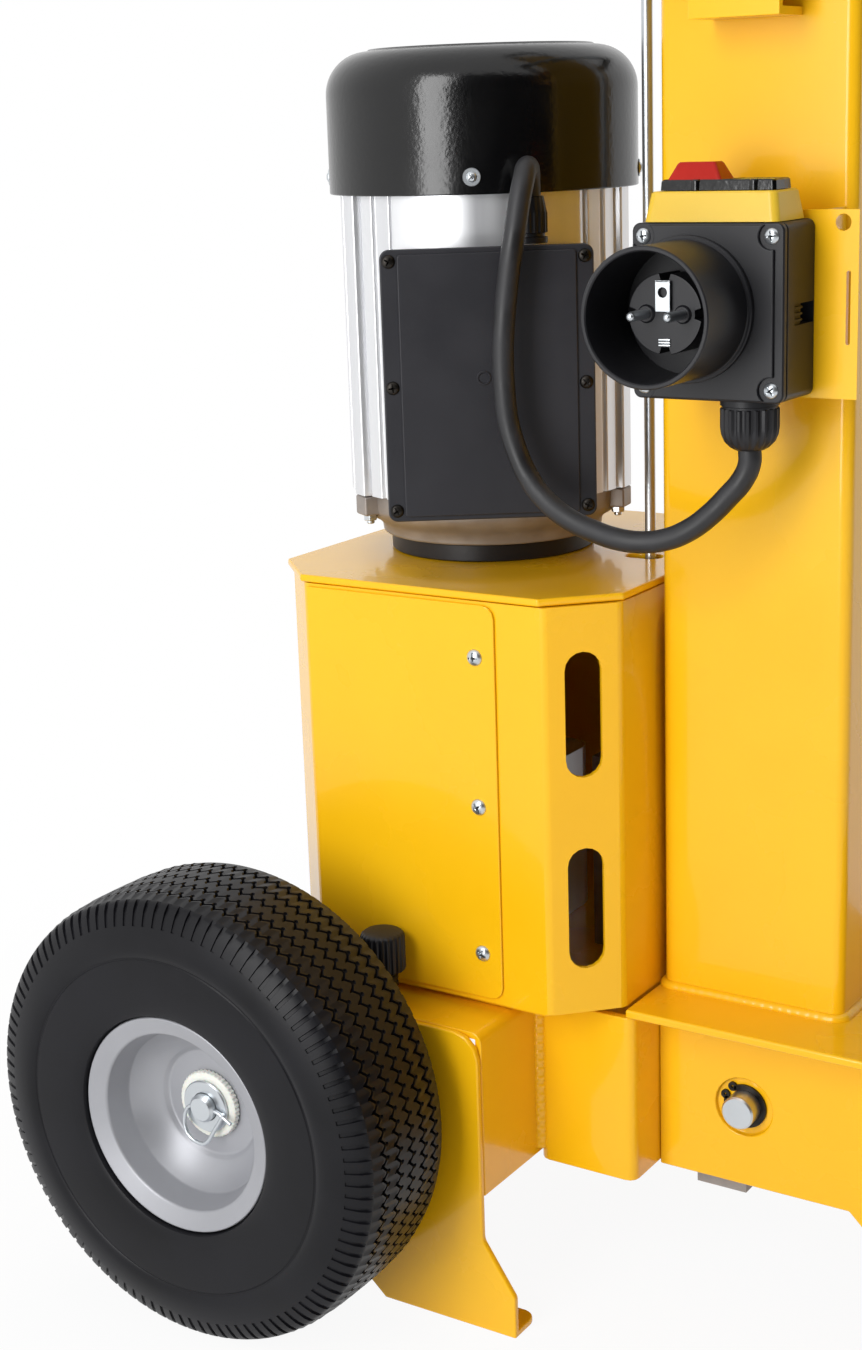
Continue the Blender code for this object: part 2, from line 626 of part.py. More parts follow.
def wheel(side, sign):
    """A foam-filled tyre on a deep-dished rim, with a flanged nylon bush on the axle."""
    def across(profile):
        return [(radius, sign * (WHEEL_MID + height)) for radius, height in profile]

    hub = (AXLE_X, 0, AXLE_Z)
    seat = RIM_SEAT + GAP
    lip = RIM_HALF - RIM_LIP - GAP
    bead = RIM_RADIUS + GAP
    crown = TYRE_RADIUS
    half = [(seat, lip), (bead, lip), (bead, RIM_HALF), (bead + TYRE_BEAD, TYRE_HALF - TYRE_BULGE),
            (crown - TYRE_FLANK, TYRE_HALF), (crown - TYRE_SHOULDER, TYRE_HALF - TYRE_BULGE),
            (crown - TYRE_SHOULDER_EDGE, RIM_HALF - GAP), (crown - TYRE_CROWN, TYRE_TREAD_HALF),
            (crown, TYRE_CROWN_HALF)]
    tyre = half + [(radius, -height) for radius, height in half[::-1]]
    shape = turned(across(tyre), AXLE_X, AXLE_Z, "Y", TYRE_FACETS, ring=True)
    add(f"tyre_{side}", shape, "black_rubber", hub)

    barrel = RIM_SEAT - RIM_SHEET
    edge = RIM_HALF - FLANGE_DROP
    bowl_foot = WEB_RADIUS + WEB_STEP
    bowl = [(WEB_RADIUS, 0), (bowl_foot, WEB_STEP), ((bowl_foot + BOWL_RADIUS) / 2, BOWL_SAG),
            (BOWL_RADIUS, BOWL_RISE)]
    dish = [(reach, WEB_OUT + rise) for reach, rise in bowl]
    back = [(reach + DISH_WALL, height - RIM_SHEET) for reach, height in dish[::-1]]
    back.insert(0, (barrel, WEB_OUT + BOWL_RISE))
    seat_edge = RIM_HALF - RIM_LIP
    flange = [(RIM_RADIUS, RIM_HALF), (RIM_RADIUS, seat_edge), (RIM_SEAT, seat_edge)]
    inner_flange = [(radius, -height) for radius, height in flange[::-1]]
    bore = BUSH_RADIUS + GAP
    rim = [(bore, WEB_OUT), *dish, (FLANGE_IN, edge), *flange, *inner_flange]
    rim += [(FLANGE_IN, -edge), (barrel, RIM_SHEET - edge)]
    rim += [*back, (HUB_RADIUS, WEB_OUT - RIM_SHEET), (HUB_RADIUS, -HUB_IN), (bore, -HUB_IN)]
    shape = turned(across(rim), AXLE_X, AXLE_Z, "Y", RIM_FACETS, ring=True)
    add(f"wheel_rim_{side}", shape, "silver_paint", hub)

    inner = AXLE_RADIUS + GAP
    shoulder = WEB_OUT + GAP
    face = shoulder + BUSH_FLANGE_THICK
    end = GAP - WHEEL_OFFSET
    bush = [(inner, end), (BUSH_RADIUS, end), (BUSH_RADIUS, shoulder), (BUSH_FLANGE, shoulder),
            (BUSH_FLANGE, face), (inner, face)]
    shape = turned(across(bush), AXLE_X, AXLE_Z, "Y", BUSH_FACETS, ring=True)
    add(f"hub_bush_{side}", shape, "cream_nylon", hub)


def column_and_ram():
    """The square column, and the ram tube that the cylinder inside drives up."""
    outer = rounded_square(COLUMN_X, 0, COLUMN_HALF, COLUMN_CORNER)
    bore = rounded_square(COLUMN_X, 0, COLUMN_BORE, COLUMN_CORNER - COLUMN_WALL)
    add("column", prism(outer, BASE_TOP + GAP, COLUMN_TOP, holes=[bore]), "yellow_paint")

    guide_out = rounded_square(COLUMN_X, 0, COLUMN_BORE - GAP, COLUMN_CORNER - COLUMN_WALL)
    guide_in = rounded_square(COLUMN_X, 0, RAM_HALF + GAP, COLUMN_CORNER - COLUMN_WALL)
    guide = prism(guide_out, COLUMN_TOP - GUIDE_HEIGHT, COLUMN_TOP - GAP, holes=[guide_in])
    add("column_guide", guide, "cream_nylon")

    ram_out = rounded_square(COLUMN_X, 0, RAM_HALF, COLUMN_CORNER)
    ram_in = rounded_square(COLUMN_X, 0, RAM_HALF - RAM_WALL, COLUMN_CORNER - COLUMN_WALL)
    add("ram_tube", prism(ram_out, BASE_TOP + RAM_FOOT, COLUMN_TOP, holes=[ram_in]), "bare_steel")

    low = COLUMN_TOP + GAP
    front = COLUMN_X + COLUMN_HALF
    nose = COLUMN_X + HEAD_ARM
    rim = COLUMN_X - RAM_HALF - COLUMN_WALL
    head = rounded([
        (rim, low, 0), (front, low, 0), (front + HEAD_STEP, low + HEAD_STEP, HEAD_THROAT),
        (nose, low + HEAD_STEP, HEAD_NOSE_LOW), (nose, low + HEAD_HEIGHT - HEAD_STEP, HEAD_NOSE_HIGH),
        (front, low + HEAD_HEIGHT, HEAD_CREST), (rim, low + HEAD_HEIGHT, HEAD_HEEL)])
    add("ram_head", prism(head, -HEAD_HALF, HEAD_HALF, "Y"), "yellow_paint")

    top = low + HEAD_STEP - GAP
    edge = top - WEDGE_HEIGHT
    blade = [(-WEDGE_HALF, top), (-WEDGE_HALF, edge + WEDGE_TAPER), (-WEDGE_EDGE, edge), (WEDGE_EDGE, edge),
             (WEDGE_HALF, edge + WEDGE_TAPER), (WEDGE_HALF, top)]
    back = front + WEDGE_STANDOFF
    wedge = add("splitting_wedge", prism(blade, back, back + WEDGE_LENGTH, "X"), "bare_steel")
    notch = rectangle(back - 1, front + HEAD_STEP + WEDGE_NOTCH, low - 1, top + 1)
    cut(wedge, prism(notch, -HEAD_HALF, HEAD_HALF, "Y"))

    barrel = washer(BARREL_BORE, BARREL_RADIUS, BASE_TOP + RAM_FOOT + BARREL_LIFT, COLUMN_TOP, COLUMN_X)
    add("cylinder_barrel", barrel, "dark_steel")

    crown = BARREL_BORE - GAP
    rod = [(0, PIN_Z), (ROD_RADIUS, PIN_Z), (ROD_RADIUS, PISTON_TOP - PISTON_HEIGHT),
           (crown, PISTON_TOP - PISTON_HEIGHT), (crown, PISTON_TOP), (0, PISTON_TOP)]
    piston = add("piston_rod", turned(rod, COLUMN_X), "bare_steel")
    eye = CHEEK_OUTER - CHEEK_THICK - GAP
    weld(piston, prism(circle(COLUMN_X, PIN_Z, EYE_RADIUS), -eye, eye, "Y"))
    lug = COLUMN_X - EYE_FOOT_FRONT
    weld(piston, block(lug - EYE_FOOT_LENGTH, lug, -eye, eye, EYE_FOOT_BOTTOM, PIN_Z))
    cut(piston, prism(circle(COLUMN_X, PIN_Z, PIN_RADIUS + GAP), -CHEEK_OUTER, CHEEK_OUTER, "Y"))

    far = CHEEK_OUTER - PIN_RECESS + GAP
    near = -CHEEK_OUTER - PIN_PROUD
    pin = [(0, near), (PIN_RADIUS - PIN_CHAMFER, near), (PIN_RADIUS, near + PIN_CHAMFER), (PIN_RADIUS, far),
           (CIRCLIP_RADIUS, far), (CIRCLIP_RADIUS, far + PIN_HEAD), (0, far + PIN_HEAD)]
    add("base_pin", turned(pin, COLUMN_X, PIN_Z, "Y"), "bare_steel")

    seat = -CHEEK_OUTER + PIN_RECESS - GAP
    steps = range(CIRCLIP_STEPS + 1)
    arc = [math.radians(CIRCLIP_OPEN / 2 + (360 - CIRCLIP_OPEN) * k / CIRCLIP_STEPS - 90) for k in steps]
    clip = [(COLUMN_X + CIRCLIP_RADIUS * math.cos(a), PIN_Z + CIRCLIP_RADIUS * math.sin(a)) for a in arc]
    hollow = PIN_RADIUS + GAP
    clip += [(COLUMN_X + hollow * math.cos(a), PIN_Z + hollow * math.sin(a)) for a in arc[::-1]]
    add("pin_circlip", prism(clip, seat - CIRCLIP_THICK, seat, "Y"), "dark_steel")


def pump_house():
    """The eight-sided sheet housing with its door, lid, gear pump and control valve."""
    outer = octagon(HOUSE_REAR, HOUSE_FRONT, -HOUSE_HALF, HOUSE_HALF, HOUSE_CHAMFER)
    wall = HOUSE_WALL
    leg = HOUSE_CHAMFER - wall * (2 - math.sqrt(2))
    inner = octagon(HOUSE_REAR + wall, HOUSE_FRONT - wall, -HOUSE_HALF + wall, HOUSE_HALF - wall, leg)
    shell = add("pump_house", prism(outer, HOUSE_BOTTOM, HOUSE_TOP), "yellow_paint")
    cut(shell, prism(inner, HOUSE_FLOOR, HOUSE_TOP + wall))
    inset = HOUSE_SOLE_INSET
    half = HOUSE_HALF - inset
    sole = octagon(HOUSE_REAR + inset, HOUSE_FRONT - inset, -half, half, HOUSE_CHAMFER)
    weld(shell, prism(sole, BEAM_TOP + GAP, HOUSE_BOTTOM + wall / 2))

    door_rear = HOUSE_REAR + HOUSE_CHAMFER + DOOR_INSET
    door_front = door_rear + DOOR_WIDTH
    door_low = HOUSE_BOTTOM + DOOR_EDGE
    door_high = HOUSE_TOP - DOOR_EDGE / 2
    frame = DOOR_FRAME
    window = rectangle(door_rear + frame, door_front - frame, door_low + frame, door_high - frame)
    cut(shell, prism(window, -HOUSE_HALF - wall, -HOUSE_HALF + 2 * wall, "Y"))
    corner = DOOR_CORNER
    hinge = DOOR_HINGE_CORNER
    door = rounded([(door_rear, door_low, hinge), (door_front, door_low, corner),
                    (door_front, door_high, corner), (door_rear, door_high, hinge)])
    face = -HOUSE_HALF - GAP
    add("pump_house_door", prism(door, face - DOOR_THICK, face, "Y"), "yellow_paint")

    middle = HOUSE_CHAMFER / 2
    for sign in (-1, 1):
        for height in (SLOT_LOW, SLOT_HIGH):
            slot = prism(oblong(0, HOUSE_BOTTOM + height, SLOT_LENGTH, SLOT_WIDTH), -2 * wall, 2 * wall, "X")
            spot = Matrix.Translation((HOUSE_FRONT - middle, sign * (HOUSE_HALF - middle), 0))
            slot.transform(spot @ Matrix.Rotation(sign * math.pi / 4, 4, "Z"))
            cut(shell, slot)

    top = octagon(HOUSE_REAR - LID_REAR, HOUSE_FRONT, -HOUSE_HALF, HOUSE_HALF, HOUSE_CHAMFER + LID_REAR / 2)
    shaft_hole = circle(MOTOR_X, 0, RING_BORE - HOUSE_WALL)
    slot = oblong(0, 0, ROD_HOLE_LENGTH, ROD_HOLE_WIDTH)
    rod_hole = [(CONTROL_X - ROD_HOLE_BACK + y, x) for x, y in slot]
    lid = prism(top, LID_BOTTOM, LID_BOTTOM + LID_THICK, holes=[shaft_hole, rod_hole])
    add("pump_house_lid", lid, "yellow_paint")

    floor = HOUSE_FLOOR + GAP
    half = PUMP_HALF
    body = rounded_square(MOTOR_X, 0, half, PUMP_CORNER)
    bore = circle(MOTOR_X, 0, SHAFT_RADIUS + GAP)
    add("gear_pump", prism(body, floor, PUMP_TOP, holes=[bore]), "bright_aluminium")
    front = HOUSE_FRONT - wall - VALVE_CLEARANCE
    ends = rectangle(front - VALVE_LENGTH, front, -VALVE_HALF, VALVE_HALF)
    spool = circle(CONTROL_X, 0, CONTROL_RADIUS + GAP, SMALL_FACETS)
    add("control_valve", prism(ends, floor, floor + VALVE_HEIGHT, holes=[spool]), "cast_grey")


def fin_outline():
    """The finned section of the stator's extrusion, with four ribs for the tie bolts."""
    outline = []
    pitch = 360 / STATOR_FINS
    for fin in range(STATOR_FINS):
        middle = fin * pitch + pitch / 2
        near_rib = min(abs(math.remainder(middle - rib, 360)) for rib in (45, 135, 225, 315))
        if near_rib < pitch * 0.6:
            radius, half = LUG_RADIUS, LUG_TURN
        else:
            radius, half = STATOR_RADIUS, pitch * FIN_SHARE
        foot = half + FIN_SLOPE
        for turn, reach in ((-foot, STATOR_ROOT), (-half, radius), (half, radius), (foot, STATOR_ROOT)):
            angle = math.radians(middle + turn)
            outline.append((MOTOR_X + reach * math.cos(angle), reach * math.sin(angle)))
    return outline


def ear_outline(radius, reach):
    """A round outline with four ears under the tie-bolt ribs."""
    outline = []
    pitch = 360 / STATOR_FINS
    for quarter in range(4):
        start = 90 * quarter
        for turn in (pitch, 2 * pitch, 3 * pitch, 45 - pitch):
            outline.append((start + turn, radius))
        for turn in (45 - pitch / 2, 45, 45 + pitch / 2):
            outline.append((start + turn, reach))
        for turn in (45 + pitch, 90 - 3 * pitch, 90 - 2 * pitch, 90 - pitch, 90):
            outline.append((start + turn, radius))
    outline = sorted(set(outline))
    return [(MOTOR_X + r * math.cos(math.radians(t)), r * math.sin(math.radians(t))) for t, r in outline]


def motor():
    """The flange motor on the lid, with its rotor, fan and cowl."""
    spin = (MOTOR_X, 0, SHIELD_BOTTOM)
    ring = washer(RING_BORE, RING_RADIUS, RING_BOTTOM, RING_BOTTOM + RING_HEIGHT, MOTOR_X)
    add("motor_flange_ring", ring, "black_paint")

    bore = SHAFT_RADIUS + GAP
    top = SHIELD_BOTTOM + SHIELD_HEIGHT
    foot = RING_RADIUS + SHIELD_FOOT
    rim = SHIELD_RADIUS - SHIELD_RIM_INSET
    shield = [(bore, SHIELD_BOTTOM), (foot, SHIELD_BOTTOM),
              (foot + SHIELD_FOOT_FLARE, SHIELD_BOTTOM + SHIELD_FOOT_HEIGHT),
              (SHIELD_RADIUS - SHIELD_WAIST, SHIELD_BOTTOM + SHIELD_WAIST_HEIGHT), (rim, top - EAR_HEIGHT),
              (rim, top), (bore, top)]
    lower = add("lower_end_shield", turned(shield, MOTOR_X, 0, ring=True), "cast_grey")
    ear_bore = circle(MOTOR_X, 0, SHIELD_EAR_BORE)
    ears = prism(ear_outline(rim - SHIELD_EAR_INSET, LUG_RADIUS), top - EAR_HEIGHT, top, holes=[ear_bore])
    weld(lower, ears, MOTOR_TURN)

    stator = prism(fin_outline(), STATOR_BOTTOM, STATOR_TOP, holes=[circle(MOTOR_X, 0, STATOR_BORE)])
    add("motor_stator", stator, "bright_aluminium", turn=MOTOR_TURN)

    cap = washer(bore, STATOR_ROOT, STATOR_TOP + GAP, STATOR_TOP + TOP_SHIELD, MOTOR_X)
    add("upper_end_shield", cap, "cast_grey")

    core = (STATOR_BOTTOM + ROTOR_INSET, STATOR_TOP - ROTOR_INSET)
    fan_top = FAN_BOTTOM + FAN_HEIGHT
    shaft_end = PUMP_TOP - PUMP_SHAFT_DEPTH
    shaft = [(0, shaft_end), (SHAFT_RADIUS, shaft_end), (SHAFT_RADIUS, core[0]), (ROTOR_RADIUS, core[0]),
             (ROTOR_RADIUS, core[1]), (SHAFT_RADIUS, core[1]), (SHAFT_RADIUS, fan_top), (0, fan_top)]
    add("rotor", turned(shaft, MOTOR_X), "bare_steel", spin)

    sleeve = washer(bore, COUPLING_RADIUS, COUPLING_BOTTOM, COUPLING_BOTTOM + COUPLING_HEIGHT, MOTOR_X)
    add("shaft_coupling", sleeve, "cast_grey", spin)

    blades = []
    for blade in range(FAN_BLADES):
        middle = 360 * blade / FAN_BLADES
        thin = math.degrees(FAN_TIP_HALF / FAN_RADIUS)
        thick = math.degrees(FAN_ROOT_HALF / FAN_HUB)
        for turn, reach in ((-thick, FAN_HUB), (-thin, FAN_RADIUS), (thin, FAN_RADIUS), (thick, FAN_HUB)):
            angle = math.radians(middle + turn)
            blades.append((MOTOR_X + reach * math.cos(angle), reach * math.sin(angle)))
    fan = prism(blades, FAN_BOTTOM, fan_top, holes=[circle(MOTOR_X, 0, bore)])
    add("cooling_fan", fan, "black_plastic", spin)

    shoulder = COWL_SHOULDER
    wall = COWL_WALL
    arc = [math.radians(90 * k / 4) for k in range(5)]
    outside = [(COWL_RADIUS - shoulder + shoulder * math.cos(a), COWL_TOP - shoulder + shoulder * math.sin(a))
               for a in arc]
    inside = [(COWL_RADIUS - shoulder + (shoulder - wall) * math.cos(a),
               COWL_TOP - shoulder + (shoulder - wall) * math.sin(a)) for a in arc]
    rim = [(COWL_RADIUS, COWL_BOTTOM), (COWL_RADIUS - wall, COWL_BOTTOM)]
    profile = [(0, COWL_TOP)] + outside[::-1] + rim + inside + [(0, COWL_TOP - wall)]
    cowl = add("fan_cowl", turned(profile, MOTOR_X, facets=COWL_FACETS), "black_paint")
    for bar in range(COWL_GRILLE_BARS):
        angle = 2 * math.pi * (bar / COWL_GRILLE_BARS + 0.3 / COWL_FACETS)
        sides = (-COWL_SLIT / 2, COWL_SLIT / 2)
        slit = block(COWL_GRILLE_IN, COWL_GRILLE_OUT, *sides, COWL_TOP - 2 * wall, COWL_TOP + wall)
        slit.transform(Matrix.Translation((MOTOR_X, 0, 0)) @ Matrix.Rotation(angle, 4, "Z"))
        grille = slit if bar == 0 else joined(grille, slit)
    cut(cowl, grille)


def joined(first, second):
    """One bmesh holding two separate shapes."""
    keep = bpy.data.meshes.new("joined")
    second.to_mesh(keep)
    second.free()
    first.from_mesh(keep)
    bpy.data.meshes.remove(keep)
    return first


def terminal_box():
    """The box on the motor's side, turned with the stator, and the cable to the switch."""
    inset = TERMINAL_INSET
    half = TERMINAL_WIDTH / 2
    back = LID_FACE - TERMINAL_LID_THICK
    top = TERMINAL_BOTTOM + TERMINAL_HEIGHT
    hollow = LUG_RADIUS + GAP
    side = half - inset
    seat = math.acos(side / hollow)
    arc = [seat + (math.pi - 2 * seat) * k / 12 for k in range(13)]
    body = [(MOTOR_X - side, -back + GAP), (MOTOR_X + side, -back + GAP)]
    body += [(MOTOR_X + hollow * math.cos(a), -hollow * math.sin(a)) for a in arc]
    shape = prism(body, TERMINAL_BOTTOM + inset, top - inset)
    add("terminal_box", shape, "black_plastic", turn=MOTOR_TURN)

    low, high = TERMINAL_BOTTOM, top
    corner = TERMINAL_CORNER
    face = rounded([(MOTOR_X - half, low, corner), (MOTOR_X + half, low, corner),
                    (MOTOR_X + half, high, corner), (MOTOR_X - half, high, corner)])
    add("terminal_lid", prism(face, -LID_FACE, -back, "Y"), "black_plastic", turn=MOTOR_TURN)

    x, y, mouth = CABLE_ROUTE[0]
    seat = mouth - GLAND_HEIGHT
    gland = [(0, seat), (GLAND_RADIUS, seat), (GLAND_RADIUS, mouth - GLAND_TAPER),
             (CABLE_RADIUS + GLAND_LIP, mouth - GAP), (0, mouth - GAP)]
    add("terminal_gland", turned(gland, x, y), "black_plastic")

    curve = bpy.data.curves.new("motor_cable", "CURVE")
    curve.dimensions = "3D"
    curve.bevel_depth = CABLE_RADIUS * MM
    curve.bevel_resolution = 1
    curve.use_fill_caps = True
    spline = curve.splines.new("POLY")
    spline.points.add(len(CABLE_ROUTE) - 1)
    for point, (px, py, pz) in zip(spline.points, CABLE_ROUTE):
        point.co = (px * MM, py * MM, pz * MM, 1)
    cable = bpy.data.objects.new("motor_cable", curve)
    bpy.context.collection.objects.link(cable)
    paint(cable, "black_rubber")


def switch():
    """The switch with its mains inlet, on a bent bracket on the column's side."""
    wall = BRACKET_THICK
    seat = SWITCH_BACK + GAP
    weld_line = -COLUMN_HALF - GAP
    rear, front = SWITCH_X - BRACKET_REAR, SWITCH_X + BRACKET_FRONT
    leg = SWITCH_X + BRACKET_LEG
    bent = [(rear, weld_line), (rear, seat), (front, seat), (front, seat + wall), (leg, seat + wall),
            (leg, weld_line), (leg - wall, weld_line), (leg - wall, seat + wall), (rear + wall, seat + wall),
            (rear + wall, weld_line)]
    shape = prism(bent, SWITCH_BOTTOM - BRACKET_BELOW, SWITCH_TOP + BRACKET_ABOVE)
    bracket = add("switch_bracket", shape, "yellow_paint")
    hole = circle(front - 2 * BRACKET_HOLE, SWITCH_TOP - BRACKET_HOLE_DROP, BRACKET_HOLE, SMALL_FACETS)
    cut(bracket, prism(hole, seat - wall, seat + 2 * wall, "Y"))

    x0, x1 = SWITCH_X - SWITCH_WIDTH / 2, SWITCH_X + SWITCH_WIDTH / 2
    corner = SWITCH_CORNER
    case = rounded([(x0, SWITCH_BOTTOM, corner), (x1, SWITCH_BOTTOM, corner),
                    (x1, SWITCH_TOP, corner), (x0, SWITCH_TOP, corner)])
    box = add("switch_box", prism(case, SWITCH_FRONT, SWITCH_BACK, "Y"), "black_plastic")
    low = SWITCH_BOTTOM + NOTCH_LOW
    notch = rectangle(SWITCH_BACK - NOTCH_LENGTH, SWITCH_BACK + GAP, low, low + NOTCH_HEIGHT)
    cut(box, prism(notch, x1 - NOTCH_DEPTH, x1 + GAP, "X"))

    mouth = SWITCH_FRONT - GAP
    inner = COLLAR_RADIUS - COLLAR_WALL
    collar = washer(inner, COLLAR_RADIUS, mouth - COLLAR_LENGTH, mouth, INLET_X, INLET_Z, "Y")
    add("inlet_collar", collar, "black_plastic")
    face = mouth - INSERT_LENGTH
    insert = [(0, mouth), (INSERT_RADIUS, mouth), (INSERT_RADIUS, face), (0, face)]
    plug = add("inlet_insert", turned(insert, INLET_X, INLET_Z, "Y"), "black_plastic")
    for sign in (-1, 1):
        pin = circle(INLET_X + sign * CONTACT_SPREAD, INLET_Z, CONTACT_RADIUS, SMALL_FACETS)
        weld(plug, prism(pin, face - CONTACT_LENGTH, face + CONTACT_ROOT, "Y"))

    x, y, entry = CABLE_ROUTE[-1]
    nut = SWITCH_BOTTOM - GAP
    gland = [(0, entry + GAP), (CABLE_RADIUS + NUT_LIP, entry + GAP), (NUT_RADIUS, entry + NUT_DOME),
             (NUT_RADIUS, nut), (0, nut)]
    add("switch_gland", turned(gland, x, y, facets=NUT_FACETS), "black_plastic")

    margin = BEZEL_MARGIN
    y0, y1 = SWITCH_FRONT + margin / 2, SWITCH_BACK - margin / 2
    bezel_top = BEZEL_BOTTOM + BEZEL_HEIGHT
    bezel = frustum(x0 + margin, x1 - margin / 2, y0, y1, BEZEL_BOTTOM, bezel_top, BEZEL_TAPER)
    add("switch_bezel", bezel, "yellow_plastic")

    inset = FRAME_MARGIN
    fx0, fx1 = x0 + margin + inset, x1 - margin - inset / 2
    fy0, fy1 = y0 + inset, y1 - inset
    split = fx0 + (fx1 - fx0) * BUTTON_SPLIT
    wall = BUTTON_WALL
    stop = (fx0 + wall, split - wall / 2, fy0 + wall, fy1 - wall)
    start = (split + wall / 2, fx1 - wall, fy0 + wall, fy1 - wall)
    frame = prism(rectangle(fx0, fx1, fy0, fy1), FRAME_BOTTOM, FRAME_BOTTOM + FRAME_HEIGHT,
                  holes=[rectangle(*stop), rectangle(*start)])
    add("switch_frame", frame, "black_plastic")
    floor = FRAME_BOTTOM + BUTTON_FLOOR
    keys = (("stop_button", stop, STOP_HEIGHT, STOP_TAPER, "red_plastic"),
            ("start_button", start, START_HEIGHT, START_TAPER, "green_plastic"))
    for name, hole, height, taper, finish in keys:
        sides = [side + step for side, step in zip(hole, (GAP, -GAP, GAP, -GAP))]
        centre = ((sides[0] + sides[1]) / 2, (sides[2] + sides[3]) / 2, floor)
        add(name, frustum(*sides, floor, floor + height, taper), finish, centre)


def controls():
    """Two levers on brackets beside the column, and the rod they lift to open the valve."""
    pivot = COLUMN_X
    half = LEVER_HEIGHT / 2
    rear = CONTROL_X - LEVER_TAIL
    front = pivot + LEVER_FRONT
    grip_start = front - LEVER_GRIP
    bend = pivot + GUARD_LENGTH
    arm = [(rear, LEVER_Z - half), (bend, LEVER_Z - half), (grip_start, GRIP_Z - half),
           (front, GRIP_Z - half), (front, GRIP_Z + half), (grip_start - half / 2, GRIP_Z + half),
           (bend - half / 2, LEVER_Z + half), (rear, LEVER_Z + half)]
    for side, sign in (("right", -1), ("left", 1)):
        inner = sign * LEVER_INNER
        outer = inner + sign * LEVER_THICK
        hinge = (pivot, inner, LEVER_Z)
        lever = add(f"control_lever_{side}", prism(arm, *sorted((inner, outer)), "Y"), "black_paint", hinge)
        tip = COLUMN_HALF + GUARD_STANDOFF + LEVER_PIVOT_PROUD
        stub = sorted((sign * (COLUMN_HALF + GAP), sign * tip))
        weld(lever, prism(circle(pivot, LEVER_Z, LEVER_PIVOT_RADIUS), *stub, "Y"))

        face = COLUMN_HALF + GUARD_STANDOFF
        low, high = LEVER_Z - GUARD_LOW, LEVER_Z - GUARD_LOW + GUARD_HEIGHT
        root = COLUMN_HALF + GAP
        wall = GUARD_THICK
        channel = [(root, low), (face, low), (face, high), (root, high), (root, high - wall),
                   (face - wall, high - wall), (face - wall, low + wall), (root, low + wall)]
        channel = [(sign * y, z) for y, z in channel]
        ends = (GUARD_X - GUARD_LENGTH / 2, GUARD_X + GUARD_LENGTH / 2)
        guard = add(f"lever_bracket_{side}", prism(channel, *ends, "X"), "yellow_paint")
        bore = sorted((sign * (face - 2 * wall), sign * (face + wall)))
        cut(guard, prism(circle(pivot, LEVER_Z, LEVER_PIVOT_RADIUS + GAP), *bore, "Y"))

        middle = (inner + outer) / 2
        tang = rectangle(middle - LEVER_THICK / 2 - GAP, middle + LEVER_THICK / 2 + GAP,
                         GRIP_Z - half - GAP, GRIP_Z + half + GAP)
        ends = (grip_start + GRIP_START, front - GRIP_END)
        grip = prism(circle(middle, GRIP_Z, GRIP_RADIUS), *ends, "X", [tang])
        add(f"lever_grip_{side}", grip, "black_rubber", hinge)

    yoke_z = LEVER_Z + half + YOKE_PLAY + YOKE_RADIUS
    upright = prism(circle(CONTROL_X, 0, CONTROL_RADIUS, SMALL_FACETS), CONTROL_FOOT, yoke_z)
    rod = add("control_rod", upright, "bare_steel")
    weld(rod, prism(circle(CONTROL_X, yoke_z, YOKE_RADIUS, SMALL_FACETS), -YOKE_HALF, YOKE_HALF, "Y"))

    reach = COLUMN_REAR - HANDLE_REACH
    bow = rounded([(COLUMN_REAR - GAP, -HANDLE_HALF, 0), (reach, -HANDLE_HALF, HANDLE_BEND),
                   (reach, HANDLE_HALF, HANDLE_BEND), (COLUMN_REAR - GAP, HANDLE_HALF, 0)])
    curve = bpy.data.curves.new("carry_handle", "CURVE")
    curve.dimensions = "3D"
    curve.bevel_depth = HANDLE_RADIUS * MM
    curve.bevel_resolution = 2
    curve.use_fill_caps = True
    spline = curve.splines.new("POLY")
    spline.points.add(len(bow) - 1)
    for point, (x, y) in zip(spline.points, bow):
        point.co = (x * MM, y * MM, HANDLE_Z * MM, 1)
    handle = bpy.data.objects.new("carry_handle", curve)
    bpy.context.collection.objects.link(handle)
    paint(handle, "black_paint")


def main():
    for leftover in list(bpy.data.objects):
        bpy.data.objects.remove(leftover)
    base()
    chassis()
    wheel("right", -1)
    wheel("left", 1)
    column_and_ram()
    pump_house()
    motor()
    terminal_box()
    switch()
    controls()


main()
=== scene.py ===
# %% [markdown]
# # Upright electric log splitter
# The CAD model is the fixed frame: every piece below is placed from its boxes.
# Plain sheet pieces are copies of a CAD solid with rounded edges.
# Tyres, rims, the motor and the switch are modelled again with the detail the photograph shows.

# %% Load the frame
import json
import math

import bmesh
import bpy
from mathutils import Matrix, Vector

